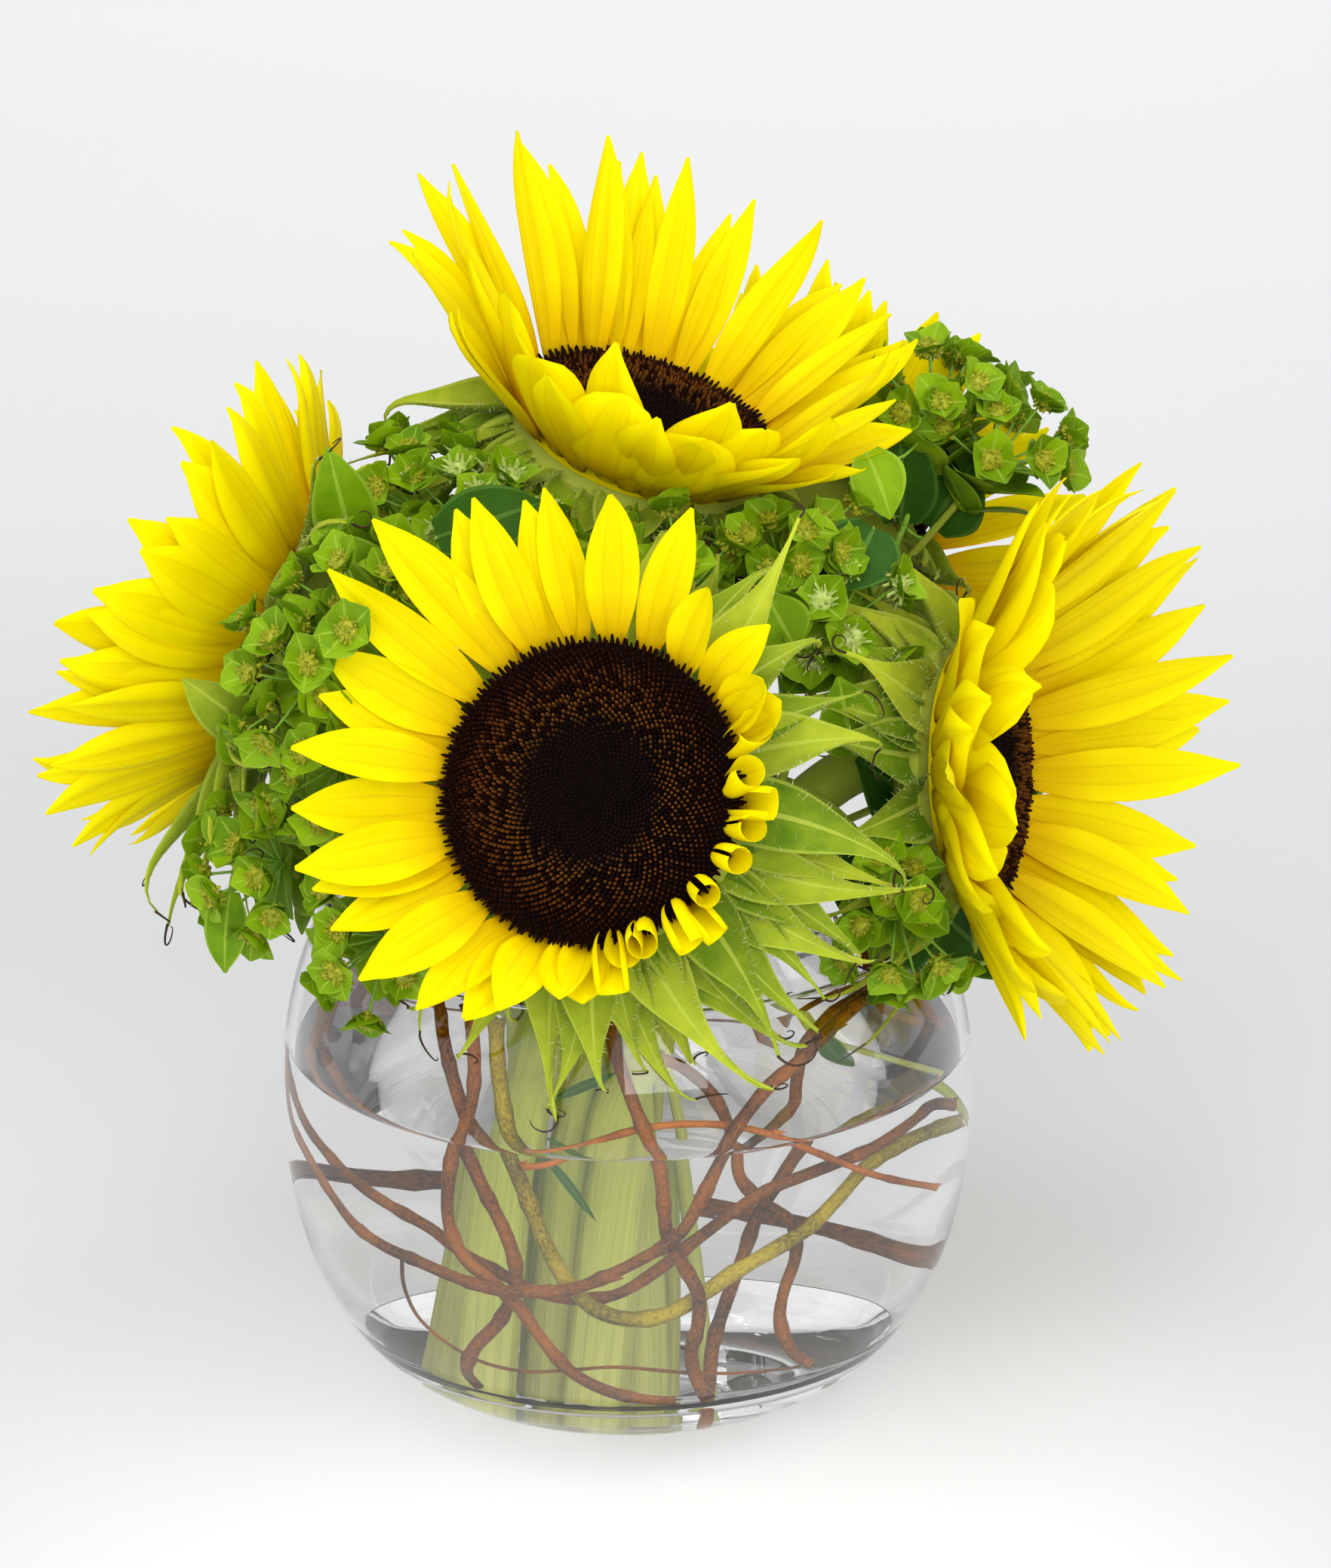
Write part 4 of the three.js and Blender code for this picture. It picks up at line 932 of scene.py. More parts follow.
def between(first, second, dice):
    """The traits of a petal that stands between two others, a layer further out."""
    gap = (second["angle"] - first["angle"]) % (2 * math.pi)
    share = dice.uniform(0.35, 0.65)
    shape = {trait: first[trait] * (1 - share) + second[trait] * share for trait in first}
    shape["angle"] = first["angle"] + gap * share
    shape["height"] -= 0.9
    shape["rise"] -= dice.uniform(2, 8)
    shape["length"] *= dice.uniform(0.9, 1.02)
    return shape


for head in heads:
    dice = np.random.default_rng(head.seed)
    node = head.name + "_ray_florets"
    shapes = solid_blades(head, RAY, head.reach, lambda angle: around(head.cup, angle), node)
    pile = Pile()
    for shape in shapes:
        pile.add(petal_of(head, shape, dice), petal, dice.uniform())
    for first, second in zip(shapes, shapes[1:] + shapes[:1]):
        if dice.uniform() < head.fill:
            pile.add(petal_of(head, between(first, second, dice), dice), petal, dice.uniform())
    for degrees, length, rise, bend, half in head.inner:
        shape = dict(angle=math.radians(degrees + dice.uniform(-3, 3)), length=length, root=head.radius - 0.5,
                     height=-2.0, rise=rise + dice.uniform(-4, 4), bend=bend + dice.uniform(-8, 8),
                     sweep=dice.uniform(-0.06, 0.06))
        pile.add(petal_of(head, shape, dice, half, rounded_width), petal, dice.uniform())
    edge = head.radius - 4.5
    plate = [(0, PLATE_BASE), (edge, PLATE_BASE), (edge, PLATE_TOP), (0, PLATE_TOP)]
    pile.add(turned(plate, 48, head.centre, head.directions, 0.3), petal)
    finish_piece(pile.piece(head.name + "_petals"), "ray_florets", node)

# %% Making discs
FLORETS = dict(front=3000, top=2400, right=2400, left=700, back=700)
for head in heads:
    R = head.radius - 1.5
    dome = [(R * s, max(DISC_EDGE + DISC_DOME * math.sin(math.pi * min(1, 1.12 - s)), DISC_MIDDLE) - 0.5)
            for s in np.linspace(1, 0, 12)]
    profile = [(0, PLATE_TOP + 0.35), (R - 3, PLATE_TOP + 0.35)] + dome[:-1] + [(0, dome[-1][1])]
    pile = Pile()
    pile.add(turned(profile, 48), disc_brown)
    made = pile.piece(head.name + "_seed_head")
    grow(made, spiral, {"Radius": (R - 0.4) * MM, "Count": FLORETS[head.name], "Material": disc_brown})
    coordinates = np.zeros(len(made.data.vertices) * 3)
    made.data.vertices.foreach_get("co", coordinates)
    set_in_head = (head.centre + coordinates.reshape(-1, 3) / MM @ head.directions) * MM
    made.data.vertices.foreach_set("co", set_in_head.ravel())
    finish_piece(made, "disc_florets", head.name + "_disc")

# %% [markdown]
# ### Bracts and stems
# The green back of a head narrows to its stem. Its bracts have a broad foot and a drawn-out tip
# that dries to a dark curly thread. Those of the solid come first, then smaller ones between them,
# and then loose ones that hang forward where the real bloom shows them. The stem is ribbed, and
# hairs are strewn on the bracts and the back of the head.

# %% Making calyces and stems
def thread(start, ahead, other, length, dice):
    """The dried tip of a bract: a thin thread that curls as it goes."""
    t = np.linspace(0, 1, 14)
    turn = dice.uniform(2.0, 5.5) * t ** 1.5 * dice.choice([-1, 1])
    steps = np.outer(np.cos(turn), ahead) + np.outer(np.sin(turn), other)
    points = start + np.cumsum(steps, axis=0) * length / 14
    return tube(np.concatenate([[start], points]), np.linspace(0.42, 0.14, 15), 5)


def drawn_width(s):
    """The half width of a drawn bract: ovate at its foot, then hollow sides and a long thin tip."""
    return (0.9 + 0.8 * s) * np.exp(-(s / 0.48) ** 2.5) + 0.18 * (1 - s) ** 0.7


def bract_of(pile, head, shape, dice, broad=1.5):
    """One bract with its thread."""
    stand, rows, columns = head.stand(shape, 2), 16, 9
    own = drawn(dice, curl=(-110, -10), sweep=(-0.26, 0.26), twist=(-0.8, 0.8), roll=(1.2, 2.2),
                ruffle=(0.3, 1.2), phase=(0, 6))
    own["sweep"] += shape["sweep"]
    made = blade(stand, shape["length"] + 3, shape["half"] * broad, drawn_width, shape["rise"],
                 shape["bend"], thick=0.5, rows=rows, columns=columns, **own)
    pile.add(made, bract_green, dice.uniform())
    last = math.radians(shape["rise"] + shape["bend"] + own["curl"])
    ahead = stand[1] * math.cos(last) + head.axis * math.sin(last)
    tip = made[0][(rows - 1) * columns + columns // 2]
    pile.add(thread(tip - ahead * 0.6, ahead, stand[2], dice.uniform(7, 18), dice), dry_thread)


def ribbed_stem(points, radii, sides, ribs, dice):
    """A stem with shallow ribs along it."""
    t = np.linspace(0, 2 * np.pi, sides, endpoint=False)
    rib = 1 + 0.035 * np.sin(ribs * t) + 0.02 * np.sin(3 * t + dice.uniform(0, 6))
    return tube(points, np.outer(radii, rib), sides)


STEM_FOOT = FLOOR + 0.35
for head in heads:
    dice = np.random.default_rng(head.seed + 50)
    node = head.name + "_calyx_and_stem"
    shapes = solid_blades(head, BRACT, head.bract, lambda angle: head.lean, node)
    pile = Pile()
    for shape in shapes:
        bract_of(pile, head, shape, dice)
    for first, second in zip(shapes, shapes[1:] + shapes[:1]):
        if dice.uniform() < 0.75:
            shape = between(first, second, dice)
            shape["rise"] -= 4
            bract_of(pile, head, shape, dice, 1.2)
    for degrees, length, rise in head.loose:
        loose = dict(angle=math.radians(degrees), length=length, root=head.radius - 2, height=-9.0, half=6.0,
                     rise=rise, bend=dice.uniform(-30, 0), sweep=dice.uniform(-0.1, 0.1))
        bract_of(pile, head, loose, dice)
    r = head.radius
    back = [(0, -32), (7.0, -32), (7.6, -28), (9.5, -25), (0.42 * r, -21.5), (0.66 * r, -18),
            (0.86 * r, -13.5), (0.97 * r, -9.5), (0.98 * r, -7), (0.9 * r, PLATE_BASE - 0.35),
            (0, PLATE_BASE - 0.35)]
    pile.add(turned(back, 48, head.centre, head.directions, 0.5), bract_green, 0.4)
    neck = [head.point(0, 0, height - HEAD_DEPTH) for height in (-9, 5)]
    line = smooth_line([(*head.foot, STEM_FOOT), *head.way, *neck], 60)
    line[0][2], line[1][2] = STEM_FOOT, STEM_FOOT + 0.5
    radii = np.linspace(STEM_RADIUS, STEM_RADIUS - STEM_TAPER, 60)
    pile.add(ribbed_stem(line, radii, 36, 11, dice), stem_green)
    made = pile.piece(head.name + "_bracts_and_stem")
    grow(made, strewing, {"On": bract_green, "Density": 0.5e6, "Edge Share": 0.85, "Length": 1.5 * MM,
                          "Foot": 0.08 * MM, "Top": 0.0, "Sides": 3, "Lean": 0.5, "Seed": head.seed,
                          "Material": hair_pale})
    finish_piece(made, "sunflower_green", node)

# %% [markdown]
# ## Curly willow
# The twigs are wound inside the bowl. A twig's bark follows its route, thickens at its nodes and
# carries a small pointed bud every two or three centimetres. Geometry Nodes turn the route into a
# curve, sweep a circle along it with a radius that changes with a noise, and set the buds.

# %% Twig tree
def twig_tree():
    tree, given = new_tree("willow_twig", {"Radius": "Float", "Bud Step": "Float", "Seed": "Int",
                                           "Bark": "Material"})
    curve = add(tree, "GeometryNodeMeshToCurve", {"Mesh": given["Host"]})
    curve = add(tree, "GeometryNodeResampleCurve", {"Curve": curve, "Length": 1.6 * MM}, mode="LENGTH")
    at = add(tree, "GeometryNodeInputPosition")
    noise = add(tree, "ShaderNodeTexNoise", {"Vector": at, "W": given["Seed"], "Scale": 110.0},
                noise_dimensions="4D")
    travelled = add(tree, "GeometryNodeSplineParameter")["Length"]
    curve = add(tree, STORE, {"Geometry": curve, "Name": "travelled", "Value": travelled})
    swell = abs((travelled * math.pi / given["Bud Step"]).maths("COSINE")) ** 24.0
    radius = given["Radius"] * (noise * 0.5 + swell * 0.22 + 0.8)
    circle = add(tree, "GeometryNodeCurvePrimitiveCircle", {"Resolution": 12, "Radius": 1.0})
    factor = add(tree, "GeometryNodeSplineParameter")["Factor"]
    circle = add(tree, STORE, {"Geometry": circle, "Name": "round", "Value": factor})
    swept = add(tree, "GeometryNodeCurveToMesh",
                {"Curve": curve, "Profile Curve": circle, "Scale": radius, "Fill Caps": True})
    turn, along = (add(tree, "GeometryNodeInputNamedAttribute", {"Name": name})
                   for name in ("round", "travelled"))
    uv = add(tree, "ShaderNodeCombineXYZ", {"X": (turn * 2.0).maths("PINGPONG", 1.0), "Y": along / (20 * MM)})
    swept = add(tree, STORE, {"Geometry": swept, "Name": "UVMap", "Value": uv}, data_type="FLOAT2",
                domain="CORNER")
    smooth = add(tree, "GeometryNodeSetShadeSmooth", {"Geometry": swept})
    barked = add(tree, "GeometryNodeSetMaterial", {"Geometry": smooth, "Material": given["Bark"]})

    nodes = add(tree, "GeometryNodeCurveToPoints", {"Curve": curve, "Length": given["Bud Step"]},
                mode="LENGTH")
    bud = add(tree, "GeometryNodeMeshCone", {"Vertices": 7, "Side Segments": 3, "Radius Top": 0.15 * MM,
                                             "Radius Bottom": 1.1 * MM, "Depth": 3.6 * MM},
              fill_type="TRIANGLE_FAN")
    bud = add(tree, "GeometryNodeTransform", {"Geometry": bud, "Translation": (1.3 * MM, 0, -0.6 * MM),
                                              "Rotation": (0, 0.42, 0)})
    size = add(tree, RANDOM, {"Min": 0.5, "Max": 1.1, "Seed": 17})
    placed(tree, barked, nodes, bud, nodes["Rotation"], spin(tree, given["Seed"]), size, given["Bark"])
    return tree


twig_nodes = twig_tree()

# %% The twigs
# Each twig has its radius and its route.
TWIGS = [
    (1.8, [(-52, -47, 128), (-49, -57, 116), (-45, -64, 104), (-38, -70, 87), (-30, -74, 70),
           (-28, -73, 59), (-32, -68, 45), (-39, -62, 34), (-42, -64, 27), (-40, -70, 23)]),
    (1.8, [(-43, -62, 132), (-41, -68, 123), (-41, -72, 110), (-44, -73, 98), (-46, -74, 87),
           (-46, -73, 74), (-42, -73, 64), (-34, -77, 58), (-28, -78, 52), (-22, -80, 43), (-14, -81, 33),
           (-4, -81, 27), (6, -80, 24), (13, -79, 23)]),
    (2.1, [(-35, -66, 129), (-34, -72, 115), (-31, -77, 99), (-26, -79, 86), (-21, -79, 72),
           (-15, -79, 60), (-8, -78, 52), (0, -78, 49), (10, -78, 50), (19, -77, 55), (28, -75, 61),
           (38, -72, 66), (47, -66, 70), (55, -62, 77), (62, -55, 83), (70, -47, 85), (80, -37, 85),
           (89, -22, 81)]),
    (1.6, [(-86, 8, 106), (-88, -5, 95), (-83, -20, 83), (-75, -36, 77), (-66, -48, 73),
           (-59, -55, 71), (-49, -59, 67), (-42, -61, 62), (-32, -66, 58), (-23, -69, 54), (-15, -72, 53),
           (-3, -75, 55), (8, -78, 63), (18, -79, 72), (35, -77, 84), (50, -71, 88), (65, -61, 90),
           (75, -49, 92), (81, -39, 93), (88, -28, 88)]),
    (1.7, [(-87, -6, 108), (-91, -12, 94), (-90, -20, 82), (-84, -34, 75), (-78, -46, 69),
           (-72, -54, 64), (-64, -64, 62), (-55, -71, 61), (-44, -78, 59), (-34, -83, 58), (-24, -86, 59),
           (-14, -89, 61), (-4, -91, 66), (5, -91, 71), (14, -90, 77), (20, -89, 87), (27, -86, 101),
           (33, -82, 109), (39, -78, 115), (46, -73, 119), (52, -67, 123), (60, -57, 127), (69, -45, 129)]),
    (1.8, [(-7, -72, 146), (-4, -79, 131), (0, -82, 118), (5, -85, 105), (9, -86, 95), (10, -86, 85),
           (11, -86, 76), (15, -85, 67), (19, -82, 57), (19, -81, 48), (17, -78, 38), (19, -74, 28),
           (22, -77, 23)]),
    (1.6, [(-2, -60, 144), (1, -66, 130), (7, -68, 120), (15, -68, 116), (23, -69, 109), (28, -70, 99),
           (29, -71, 87), (35, -69, 79), (42, -64, 71), (43, -62, 61), (40, -62, 51), (39, -61, 42),
           (43, -63, 33), (50, -64, 27)]),
    (1.7, [(68, -33, 124), (56, -47, 121), (49, -52, 115), (47, -53, 106), (46, -52, 94),
           (40, -58, 84), (33, -61, 73), (29, -63, 61), (25, -64, 49), (22, -65, 38), (21, -62, 24),
           (20, -57, 9.2)]),
    (1.7, [(-80, 22, 114), (-82, 32, 92), (-75, 45, 66), (-62, 57, 48), (-43, 70, 38),
           (-24, 78, 34), (-4, 80, 31), (16, 78, 28), (32, 71, 25), (46, 61, 20)]),
    (2.1, [(66, 14, 132), (71, 16, 112), (77, 22, 90), (87, 31, 72)]),
    (1.7, [(46, 6, 90), (56, 2, 107), (68, 0, 114), (79, 1, 113), (87, 4, 104), (93, 11, 90)]),
    (0.9, [(-27, -83, 94), (-20, -83, 95), (-8, -82, 100), (8, -81, 104), (27, -80, 104),
           (40, -80, 101), (51, -77, 95), (66, -66, 84), (84, -41, 69)]),
]


def line_object(name, points):
    """An object whose mesh is a plain line through points."""
    mesh = bpy.data.meshes.new(name)
    mesh.from_pydata((points * MM).tolist(), [(i, i + 1) for i in range(len(points) - 1)], [])
    return object_of(name, mesh)


ROOTLET = [(-59, -65, 60), (-58, -60, 50), (-55, -60, 42), (-49, -59, 36), (-39, -63, 31), (-27, -69, 30),
           (-15, -73, 32), (-3, -76, 34), (16, -72, 31), (28, -68, 29), (46, -61, 27)]
made = line_object("thin_rootlet", smooth_line(ROOTLET, 90))
grow(made, twig_nodes, {"Radius": 0.5 * MM, "Bud Step": 400 * MM, "Seed": 40, "Bark": bark_red})
finish_piece(made, "willow_bark")

for i, (radius, route) in enumerate(TWIGS):
    made = line_object(f"curly_willow_{i + 1}", smooth_line(route, 120))
    bark = {2: bark_olive, 11: bark_orange}.get(i, bark_red)
    grow(made, twig_nodes, {"Radius": radius * MM, "Bud Step": (19 + 3 * (i % 4)) * MM, "Seed": i,
                            "Bark": bark})
    finish_piece(made, "willow_bark", f"willow_twig_{i + 1}")

# %% [markdown]
# ## Bupleurum
# A spray's thin stem forks into umbels. An umbel has whorls of leaves under it and a dozen short
# stalks, each with a star-shaped cup of pointed bracts round a knot of florets, or of grain-like
# seeds where it is further on. The umbellets of the plain solid keep their places, and more stand
# between them. Single leaves hang on thin stalks of their own, and three small ones are in the bowl.

# %% The sprays
# A spray has its foot, the way of its stem and its umbels, each with its place, its facing and the
# number of its umbellets. A whorl has its distance behind the fork and its leaves' number, length,
# half width and rise. A leaf has its spray, base, tip, half width and finish; the darker finish
# paints shade on leaves that stand in shadow.
SPRAYS = [
    ("back_right", (8, 12, 9), [(16, 4, 125), (64, 42, 205)],
     [((104, 44, 256), (0.4, 0, 0.9), 6), ((88, 46, 268), (0, 0.1, 1), 5)]),
    ("middle", (92, -14, 77), [(62, -13, 98), (42, -18, 116), (36, -26, 142), (40, -26, 172)],
     [((58, -22, 228), (0.25, -0.7, 0.7), 4), ((42, -20, 246), (0.1, -0.5, 0.85), 4),
      ((16, -36, 240), (-0.2, -0.6, 0.75), 4)]),
    ("left_top", (-28, 14, 9), [(-28, 12, 125), (-50, 20, 200)],
     [((-56, 6, 252), (-0.4, -0.2, 0.9), 4), ((-40, -12, 250), (-0.1, -0.6, 0.8), 4),
      ((-26, -26, 236), (0, -0.7, 0.6), 3)]),
    ("left", (-20, 9, 9), [(-22, 10, 125), (-34, -5, 168), (-64, -44, 190)],
     [((-84, -54, 222), (-0.5, -0.7, 0.5), 5), ((-66, -52, 236), (-0.1, -0.6, 0.8), 4),
      ((-76, -58, 200), (-0.4, -0.8, 0.1), 4)]),
    ("low_left", (-38, 15, 9), [(-32, 20, 100), (-47, 8, 136), (-62, -6, 146), (-80, -36, 152)],
     [((-94, -48, 168), (-0.75, -0.6, 0.1), 5), ((-64, -72, 156), (-0.2, -0.9, 0.1), 4)]),
    ("low_right", (16, 5, 9), [(10, -3, 125), (20, 0, 160), (38, -12, 180), (60, -40, 178)],
     [((74, -54, 158), (0.5, -0.8, -0.1), 5)]),
    ("back_middle", (-14, 22, 9), [(-14, 26, 125), (-12, 66, 190)],
     [((-12, 76, 228), (-0.1, 0.7, 0.7), 5), ((0, 86, 180), (0.2, 0.95, 0.1), 4)]),
    ("back_left", (-26, 24, 9), [(-28, 28, 125), (-60, 60, 180)],
     [((-66, 66, 214), (-0.4, 0.6, 0.7), 4), ((-66, 72, 172), (-0.6, 0.8, 0), 4)]),
    ("far_right", (2, 16, 9), [(16, 14, 100), (44, 26, 142), (80, 44, 156)],
     [((98, 48, 168), (0.8, 0.6, 0.1), 5)]),
]
UMBELLET_RADIUS, RAY_REACH, REACH_SPREAD, SPREAD = 8.5, 25, 5, 1.15
TRIES, TRY_TURN, TRY_SHORTER, KNOT_RADIUS, KNOT_HEIGHT, STALKED = 6, 0.45, 0.08, 3.4, 2.4, 5
WHORLS = [(0.6, 5, 17, 7.0, 22), (8, 5, 20, 8.5, 28), (15, 3, 24, 9.5, 36)]
SEEDED = {("left_top", 1), ("middle", 0), ("left_top", 2)}
LEAVES = [
    ("back_right", (66, -8, 273), (74, -16, 258), 8, spray_green),
    ("back_right", (79, 45, 239), (80, 38, 271), 11, shaded_leaf_green),
    ("back_right", (88, 50, 236), (99, 45, 257), 12, shaded_leaf_green),
    ("left_top", (-50, -48, 260), (-23, -44, 267), 10, shaded_leaf_green),
    ("left", (-60, -44, 237), (-78, -50, 262), 9, spray_green),
    ("left", (-73, -30, 251), (-79, -40, 281), 9, spray_green),
    ("left", (-99, -42, 202), (-117, -48, 221), 8, bract_green),
    ("left", (-102, -50, 198), (-106, -60, 214), 7, spray_green),
    ("low_left", (-107, -60, 164), (-110, -64, 143), 6, spray_green),
    ("middle", (62, -44, 198), (57, -54, 222), 9, spray_green),
    ("middle", (56, -16, 103), (63, -21, 91), 4, shaded_leaf_green),
    ("middle", (-18.6, -60, 103.4), (-2.9, -60, 111.3), 1.5, shaded_leaf_green),
    ("middle", (-20.9, -75, 95.3), (-7.6, -75, 77.3), 1.3, shaded_leaf_green),
    ("middle", (45, -52, 232), (37, -57, 246), 8, spray_green),
    ("middle", (68, -20, 255), (59, -36, 242), 11, shaded_leaf_green),
    ("low_right", (88, -26, 170), (66, -40, 196), 13, shaded_leaf_green),
    ("low_right", (80, -30, 147), (55, -44, 169), 14, shaded_leaf_green),
    ("low_right", (91, -22, 148), (69, -36, 175), 14, shaded_leaf_green),
    ("low_right", (78, -30, 153), (77, -36, 129), 11, shaded_leaf_green),
    ("low_right", (82, -24, 151), (107, -20, 122), 10, shaded_leaf_green),
]

# %% Making a spray
def square_to(facing):
    """Two directions square to a third."""
    side = unit(np.cross((0, 0, 1) if abs(facing[2]) < 0.9 else (1, 0, 0), facing))
    return side, np.cross(facing, side)


def leaning(facing, lean, turn):
    """A direction that leans away from another, to the side that a turn round it gives."""
    side, other = square_to(facing)
    return facing * math.cos(lean) + math.sin(lean) * (side * math.cos(turn) + other * math.sin(turn))


def leaf_width(s):
    """An ovate leaf: widest near its foot, drawn out to a point."""
    near, past = swelling(s, 0.45, 0.4)
    return near * (1 - past ** 2.1)


def leaves_round(pile, base, facing, count, length, half, rise, dice, rows, columns):
    """A ring of ovate leaves round a facing, from one base."""
    side, other = square_to(facing)
    start = dice.uniform(0, 6)
    for k in range(count):
        t = start + 2 * math.pi * (k + dice.uniform(-0.2, 0.2)) / count
        out = side * math.cos(t) + other * math.sin(t)
        size = dice.uniform(0.82, 1.12)
        own = drawn(dice, rise=(-8, 8), bend=(-25, 15), curl=(-30, 10), sweep=(-0.1, 0.1), twist=(-0.3, 0.3),
                    roll=(0.3, 0.9))
        own["rise"] += rise
        leaf = blade((base, out, np.cross(facing, out), facing), length * size, half * size, leaf_width,
                     thick=0.25, rows=rows, columns=columns, **own)
        pile.add(leaf, spray_green, dice.uniform())


def single_leaf(pile, base, tip, half, material, dice):
    """A larger leaf from its base to its tip, turned to the front."""
    out = unit(np.subtract(tip, base))
    face = np.array([0.0, -1.0, 0.35])
    face = unit(face - out * face.dot(out))
    stand = (np.array(base, dtype=float), out, np.cross(face, out), face)
    leaf = blade(stand, math.dist(base, tip) * 1.06, half, leaf_width, 14, -26, thick=0.3, rows=18, columns=9,
                 **drawn(dice, curl=(-30, 0), sweep=(-0.1, 0.1), twist=(-0.3, 0.3), roll=(0.5, 1.0),
                         ruffle=(0.2, 0.8), phase=(0, 6)))
    pile.add(leaf, material, dice.uniform())


def stalk(pile, points, count, radius, tone=0.5):
    """A thin stalk through a few points."""
    pile.add(tube(smooth_line(points, count), np.full(count, radius), 6), stalk_green, tone)


def umbellet(pile, fork, way, reach, dice, seeded):
    """One small cup on its stalk, with a low dome of florets or seeds in it."""
    tip = fork + way * reach
    stalk(pile, [fork, (fork + tip) / 2 + [0, 0, -0.6], tip], 6, 0.42, dice.uniform())
    leaves_round(pile, tip - way * 0.4, way, 5, 9.6, 5.4, 42, dice, 7, 5)
    dome = [(0, -0.8), (KNOT_RADIUS * 0.7, -0.4), (KNOT_RADIUS, 0.5),
            (KNOT_RADIUS * 0.75, KNOT_HEIGHT * 0.75), (0, KNOT_HEIGHT)]
    knot = turned(dome, 10, tip + way * 0.8, np.array([*square_to(way), way]), 0.5)
    pile.add(knot, grain_green if seeded else floret_green)


def solid_umbellets(tree, fork, facing, count, seed):
    """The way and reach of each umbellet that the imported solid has."""
    found = []
    for k in range(count):
        lean = SPREAD * math.sqrt((k + 0.3) / count)
        for attempt in range(TRIES):
            way = leaning(facing, lean, k * GOLDEN + seed + attempt * TRY_TURN)
            reach = (RAY_REACH - REACH_SPREAD * draw(seed, k)) * (1 - TRY_SHORTER * attempt)
            if has_point(tree, fork + way * (reach + 0.3 * UMBELLET_RADIUS)):
                found.append((way, reach))
                break
    return found


def in_a_bloom(point):
    """Whether a point lies among the petals of a head or in front of them."""
    for head in heads:
        offset = point - head.centre
        height = offset.dot(head.axis)
        flat = offset - head.axis * height
        radius = np.linalg.norm(flat)
        angle = math.atan2(flat.dot(head.nine), flat.dot(head.noon))
        slope = math.tan(math.radians(around(head.cup, angle) - 6))
        lowest = -12 + max(0.0, radius - head.radius) * slope
        if lowest < height < 60 and radius < head.radius + 34:
            return True
    return False


def more_umbellets(found, fork, facing, dice):
    """Ways and reaches of umbellets between the solid's, no nearer to them than their cups allow."""
    more = []
    for _ in range(160):
        way = leaning(facing, 1.3 * math.sqrt(dice.uniform()), dice.uniform(0, 2 * math.pi))
        reach = RAY_REACH * dice.uniform(0.6, 1.0)
        apart = all(w.dot(way) < math.cos(0.42) for w, _ in found + more)
        if apart and len(found + more) < 12 and not in_a_bloom(fork + way * (reach + 4)):
            more.append((way, reach))
    return more


# %% Making the sprays
for index, (name, foot, way, umbels) in enumerate(SPRAYS):
    dice = np.random.default_rng(200 + index)
    node = "bupleurum_" + name
    tree = points_of(node)
    pile = Pile()
    main = smooth_line([foot, *way, umbels[0][0]], 101)
    pile.add(tube(main[::2], np.linspace(1.75, 1.1, 51), 8), stem_green)
    count = 0
    for u, (at, face, number) in enumerate(umbels):
        fork, facing = np.array(at, dtype=float), unit(face)
        if u > 0:
            start = main[78]
            stalk(pile, [start, (fork - 12 * facing) * 0.65 + start * 0.35, fork], 14, 0.95)
        found = solid_umbellets(tree, fork, facing, number, index + 1 + 5 * u)
        found += more_umbellets(found, fork, facing, dice)
        for way_out, reach in found:
            umbellet(pile, fork, way_out, reach, dice, (name, u) in SEEDED)
        for back, leaves, length, half, rise in WHORLS:
            leaves_round(pile, fork - facing * back, facing, leaves, length, half, rise, dice, 10, 7)
        count += len(found)
    carriers = np.concatenate([main[20:], [at for at, _, _ in umbels]])
    for spray, base, tip, half, material in LEAVES:
        if spray == name:
            single_leaf(pile, base, tip, half, material, dice)
        if spray == name and half >= STALKED:
            start = carriers[np.argmin(np.linalg.norm(carriers - base, axis=1))]
            sag = [0, 0, 0.1 * np.linalg.norm(start - base)]
            stalk(pile, [start, (start + base) / 2 - sag, base], 10, 0.45)
    made = pile.piece(node + "_spray")
    for material, length, density in ((floret_green, 1.3, 0.6e6), (grain_green, 2.6, 0.4e6)):
        grow(made, strewing, {"On": material, "Density": density, "Edge Share": 0.0, "Length": length * MM,
                              "Foot": 0.6 * MM, "Top": 0.3 * MM, "Sides": 4, "Lean": 0.35, "Seed": index,
                              "Material": material})
    print(f"{node}: {count} umbellets")
    finish_piece(made, "bupleurum_leaf", node)

# %% [markdown]
# ## Studio and camera
# The arrangement stands on a seamless pale ground that curves up behind it. Painted shade darkens
# the ground in a band behind the bowl, and a painted pool of light, which also glows, makes it
# brightest round the bowl. The soft light comes from a lamp above and in front at the left, a lower
# one in front at the right and one overhead, with a pale world round it all that the glass can
# reflect.

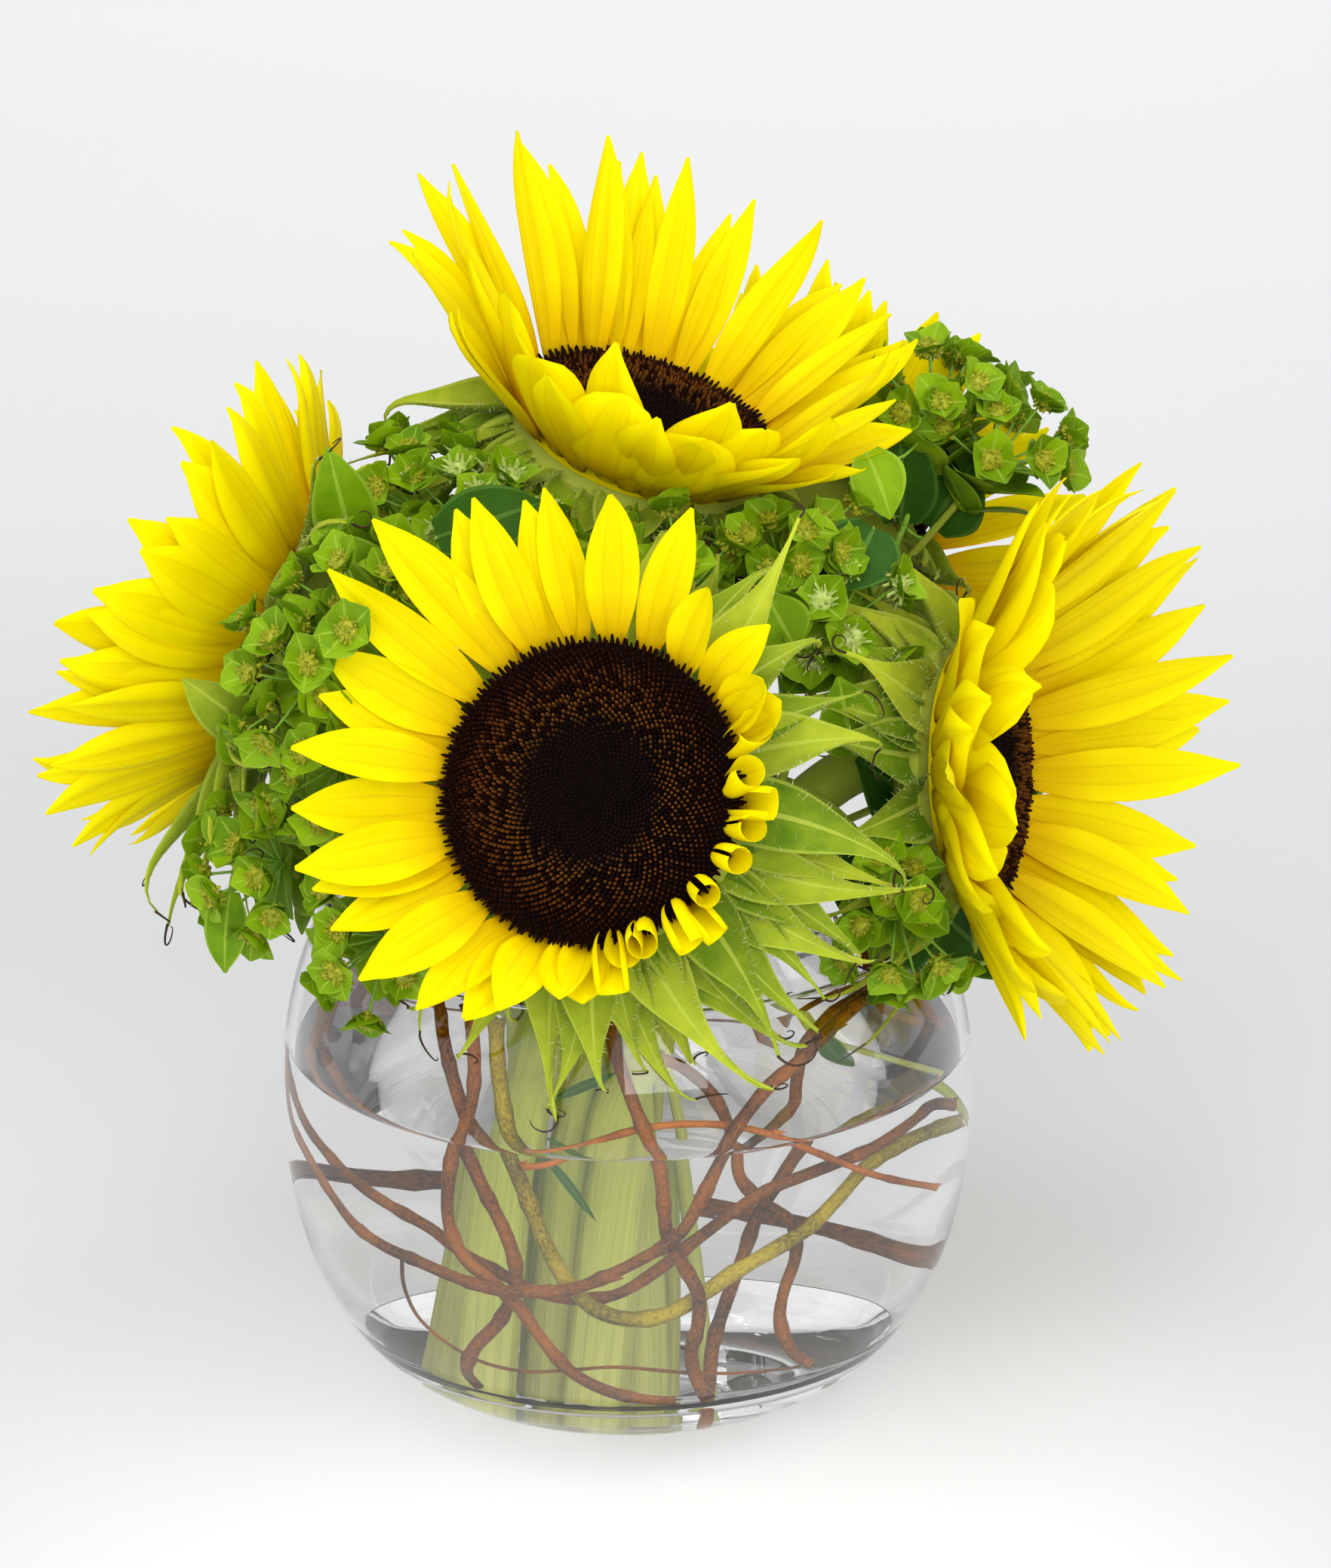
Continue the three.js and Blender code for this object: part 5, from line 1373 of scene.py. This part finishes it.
# %% Ground, light and camera
def studio_surface(tree):
    place = add(tree, "ShaderNodeTexCoord")["Object"]
    depth = add(tree, "ShaderNodeSeparateXYZ", {"Vector": place})["Y"]
    back = add(tree, "ShaderNodeMapRange", {"Value": depth, "From Min": -0.4, "From Max": 1.6})
    # Painted shade: the paper darkens from the front to a band on the floor behind the bowl, and grows
    # lighter up the sweep.
    paper_painted_falloff = add(tree, "ShaderNodeValToRGB", {"Fac": back},
                     [(0.0, "#D2D2D2"), (0.15, "#D0D0D0"), (0.2, "#CFCFCF"), (0.25, "#CCCCCC"),
                      (0.36, "#CACACA"), (0.48, "#CDCDCD"), (0.66, "#DADADA"), (0.95, "#E0E0E0")])
    # Painted light: a whiter patch of paper in front of the bowl, which also glows, lifts the shadow there.
    offset = add(tree, "ShaderNodeVectorMath", {0: place, 1: (0.0, 0.1, 0.0)}, operation="ADD")
    far = add(tree, "ShaderNodeVectorMath", {"Vector": offset}, operation="LENGTH")
    near = add(tree, "ShaderNodeMapRange", {"Value": far, "From Min": 0.02, "From Max": 0.24, "To Min": 1.0,
                                            "To Max": 0.0}, interpolation_type="SMOOTHSTEP")
    return add(tree, "ShaderNodeBsdfPrincipled",
               {"Base Color": near.mix(paper_painted_falloff, "#EEEEEE"), "Roughness": 0.85, "Specular IOR Level": 0.1,
                "Emission Color": "#FFFFFF", "Emission Strength": near * 0.08})


PAPER_Z, PAPER_SIDE = -0.3 * MM, 3.0
sweep_line = [(-1.6, PAPER_Z), (0.9, PAPER_Z), (1.15, 0.03), (1.35, 0.12), (1.5, 0.3), (1.56, 0.6),
              (1.58, 3.0)]
corners = [(x, y, z) for y, z in sweep_line for x in (-PAPER_SIDE, PAPER_SIDE)]
quads = [(2 * i, 2 * i + 1, 2 * i + 3, 2 * i + 2) for i in range(len(sweep_line) - 1)]
paper_mesh = bpy.data.meshes.new("studio_paper")
paper_mesh.from_pydata(corners, [], quads)
paper_mesh.materials.append(material_of("studio_paper", studio_surface))
paper_mesh.polygons.foreach_set("use_smooth", [True] * len(quads))
paper = object_of("studio_paper", paper_mesh)


def lamp(name, place, target, size, power):
    """A square soft lamp at a place, turned to a target. It lights what is in the bowl, but the
    glass and the water don't mirror its square."""
    data = bpy.data.lights.new(name, "AREA")
    data.shape = "SQUARE"
    data.size = size
    data.energy = power
    made = object_of(name, data)
    way = np.array(target) - np.array(place)
    made.rotation_euler = Vector(way).to_track_quat("-Z", "Y").to_euler()
    made.location = place
    made.visible_glossy = False


lamp("key_lamp", (-0.5, -1.2, 1.5), (0, 0, 0.15), 0.9, 10)
lamp("front_lamp", (0.35, -1.5, 0.75), (0, 0, 0.18), 0.8, 12)
lamp("top_lamp", (0.1, 0.3, 1.7), (0, 0, 0.1), 1.4, 8)

scene = bpy.context.scene
world = bpy.data.worlds.new("pale_room")
world.use_nodes = True
world.node_tree.nodes["Background"].inputs["Color"].default_value = linear("#F2F3F5")
world.node_tree.nodes["Background"].inputs["Strength"].default_value = 1.0
scene.world = world

camera = object_of("camera", bpy.data.cameras.new("camera"))
camera.data.lens = 95.28
camera.data.sensor_width = 36
camera.location = (0.010965, -1.115329, 0.551885)
camera.rotation_euler = (math.radians(71.3), 0, 0)
scene.camera = camera
scene.view_settings.view_transform = "Standard"
scene.cycles.max_bounces = 12
scene.cycles.transmission_bounces = 12
scene.cycles.transparent_max_bounces = 8
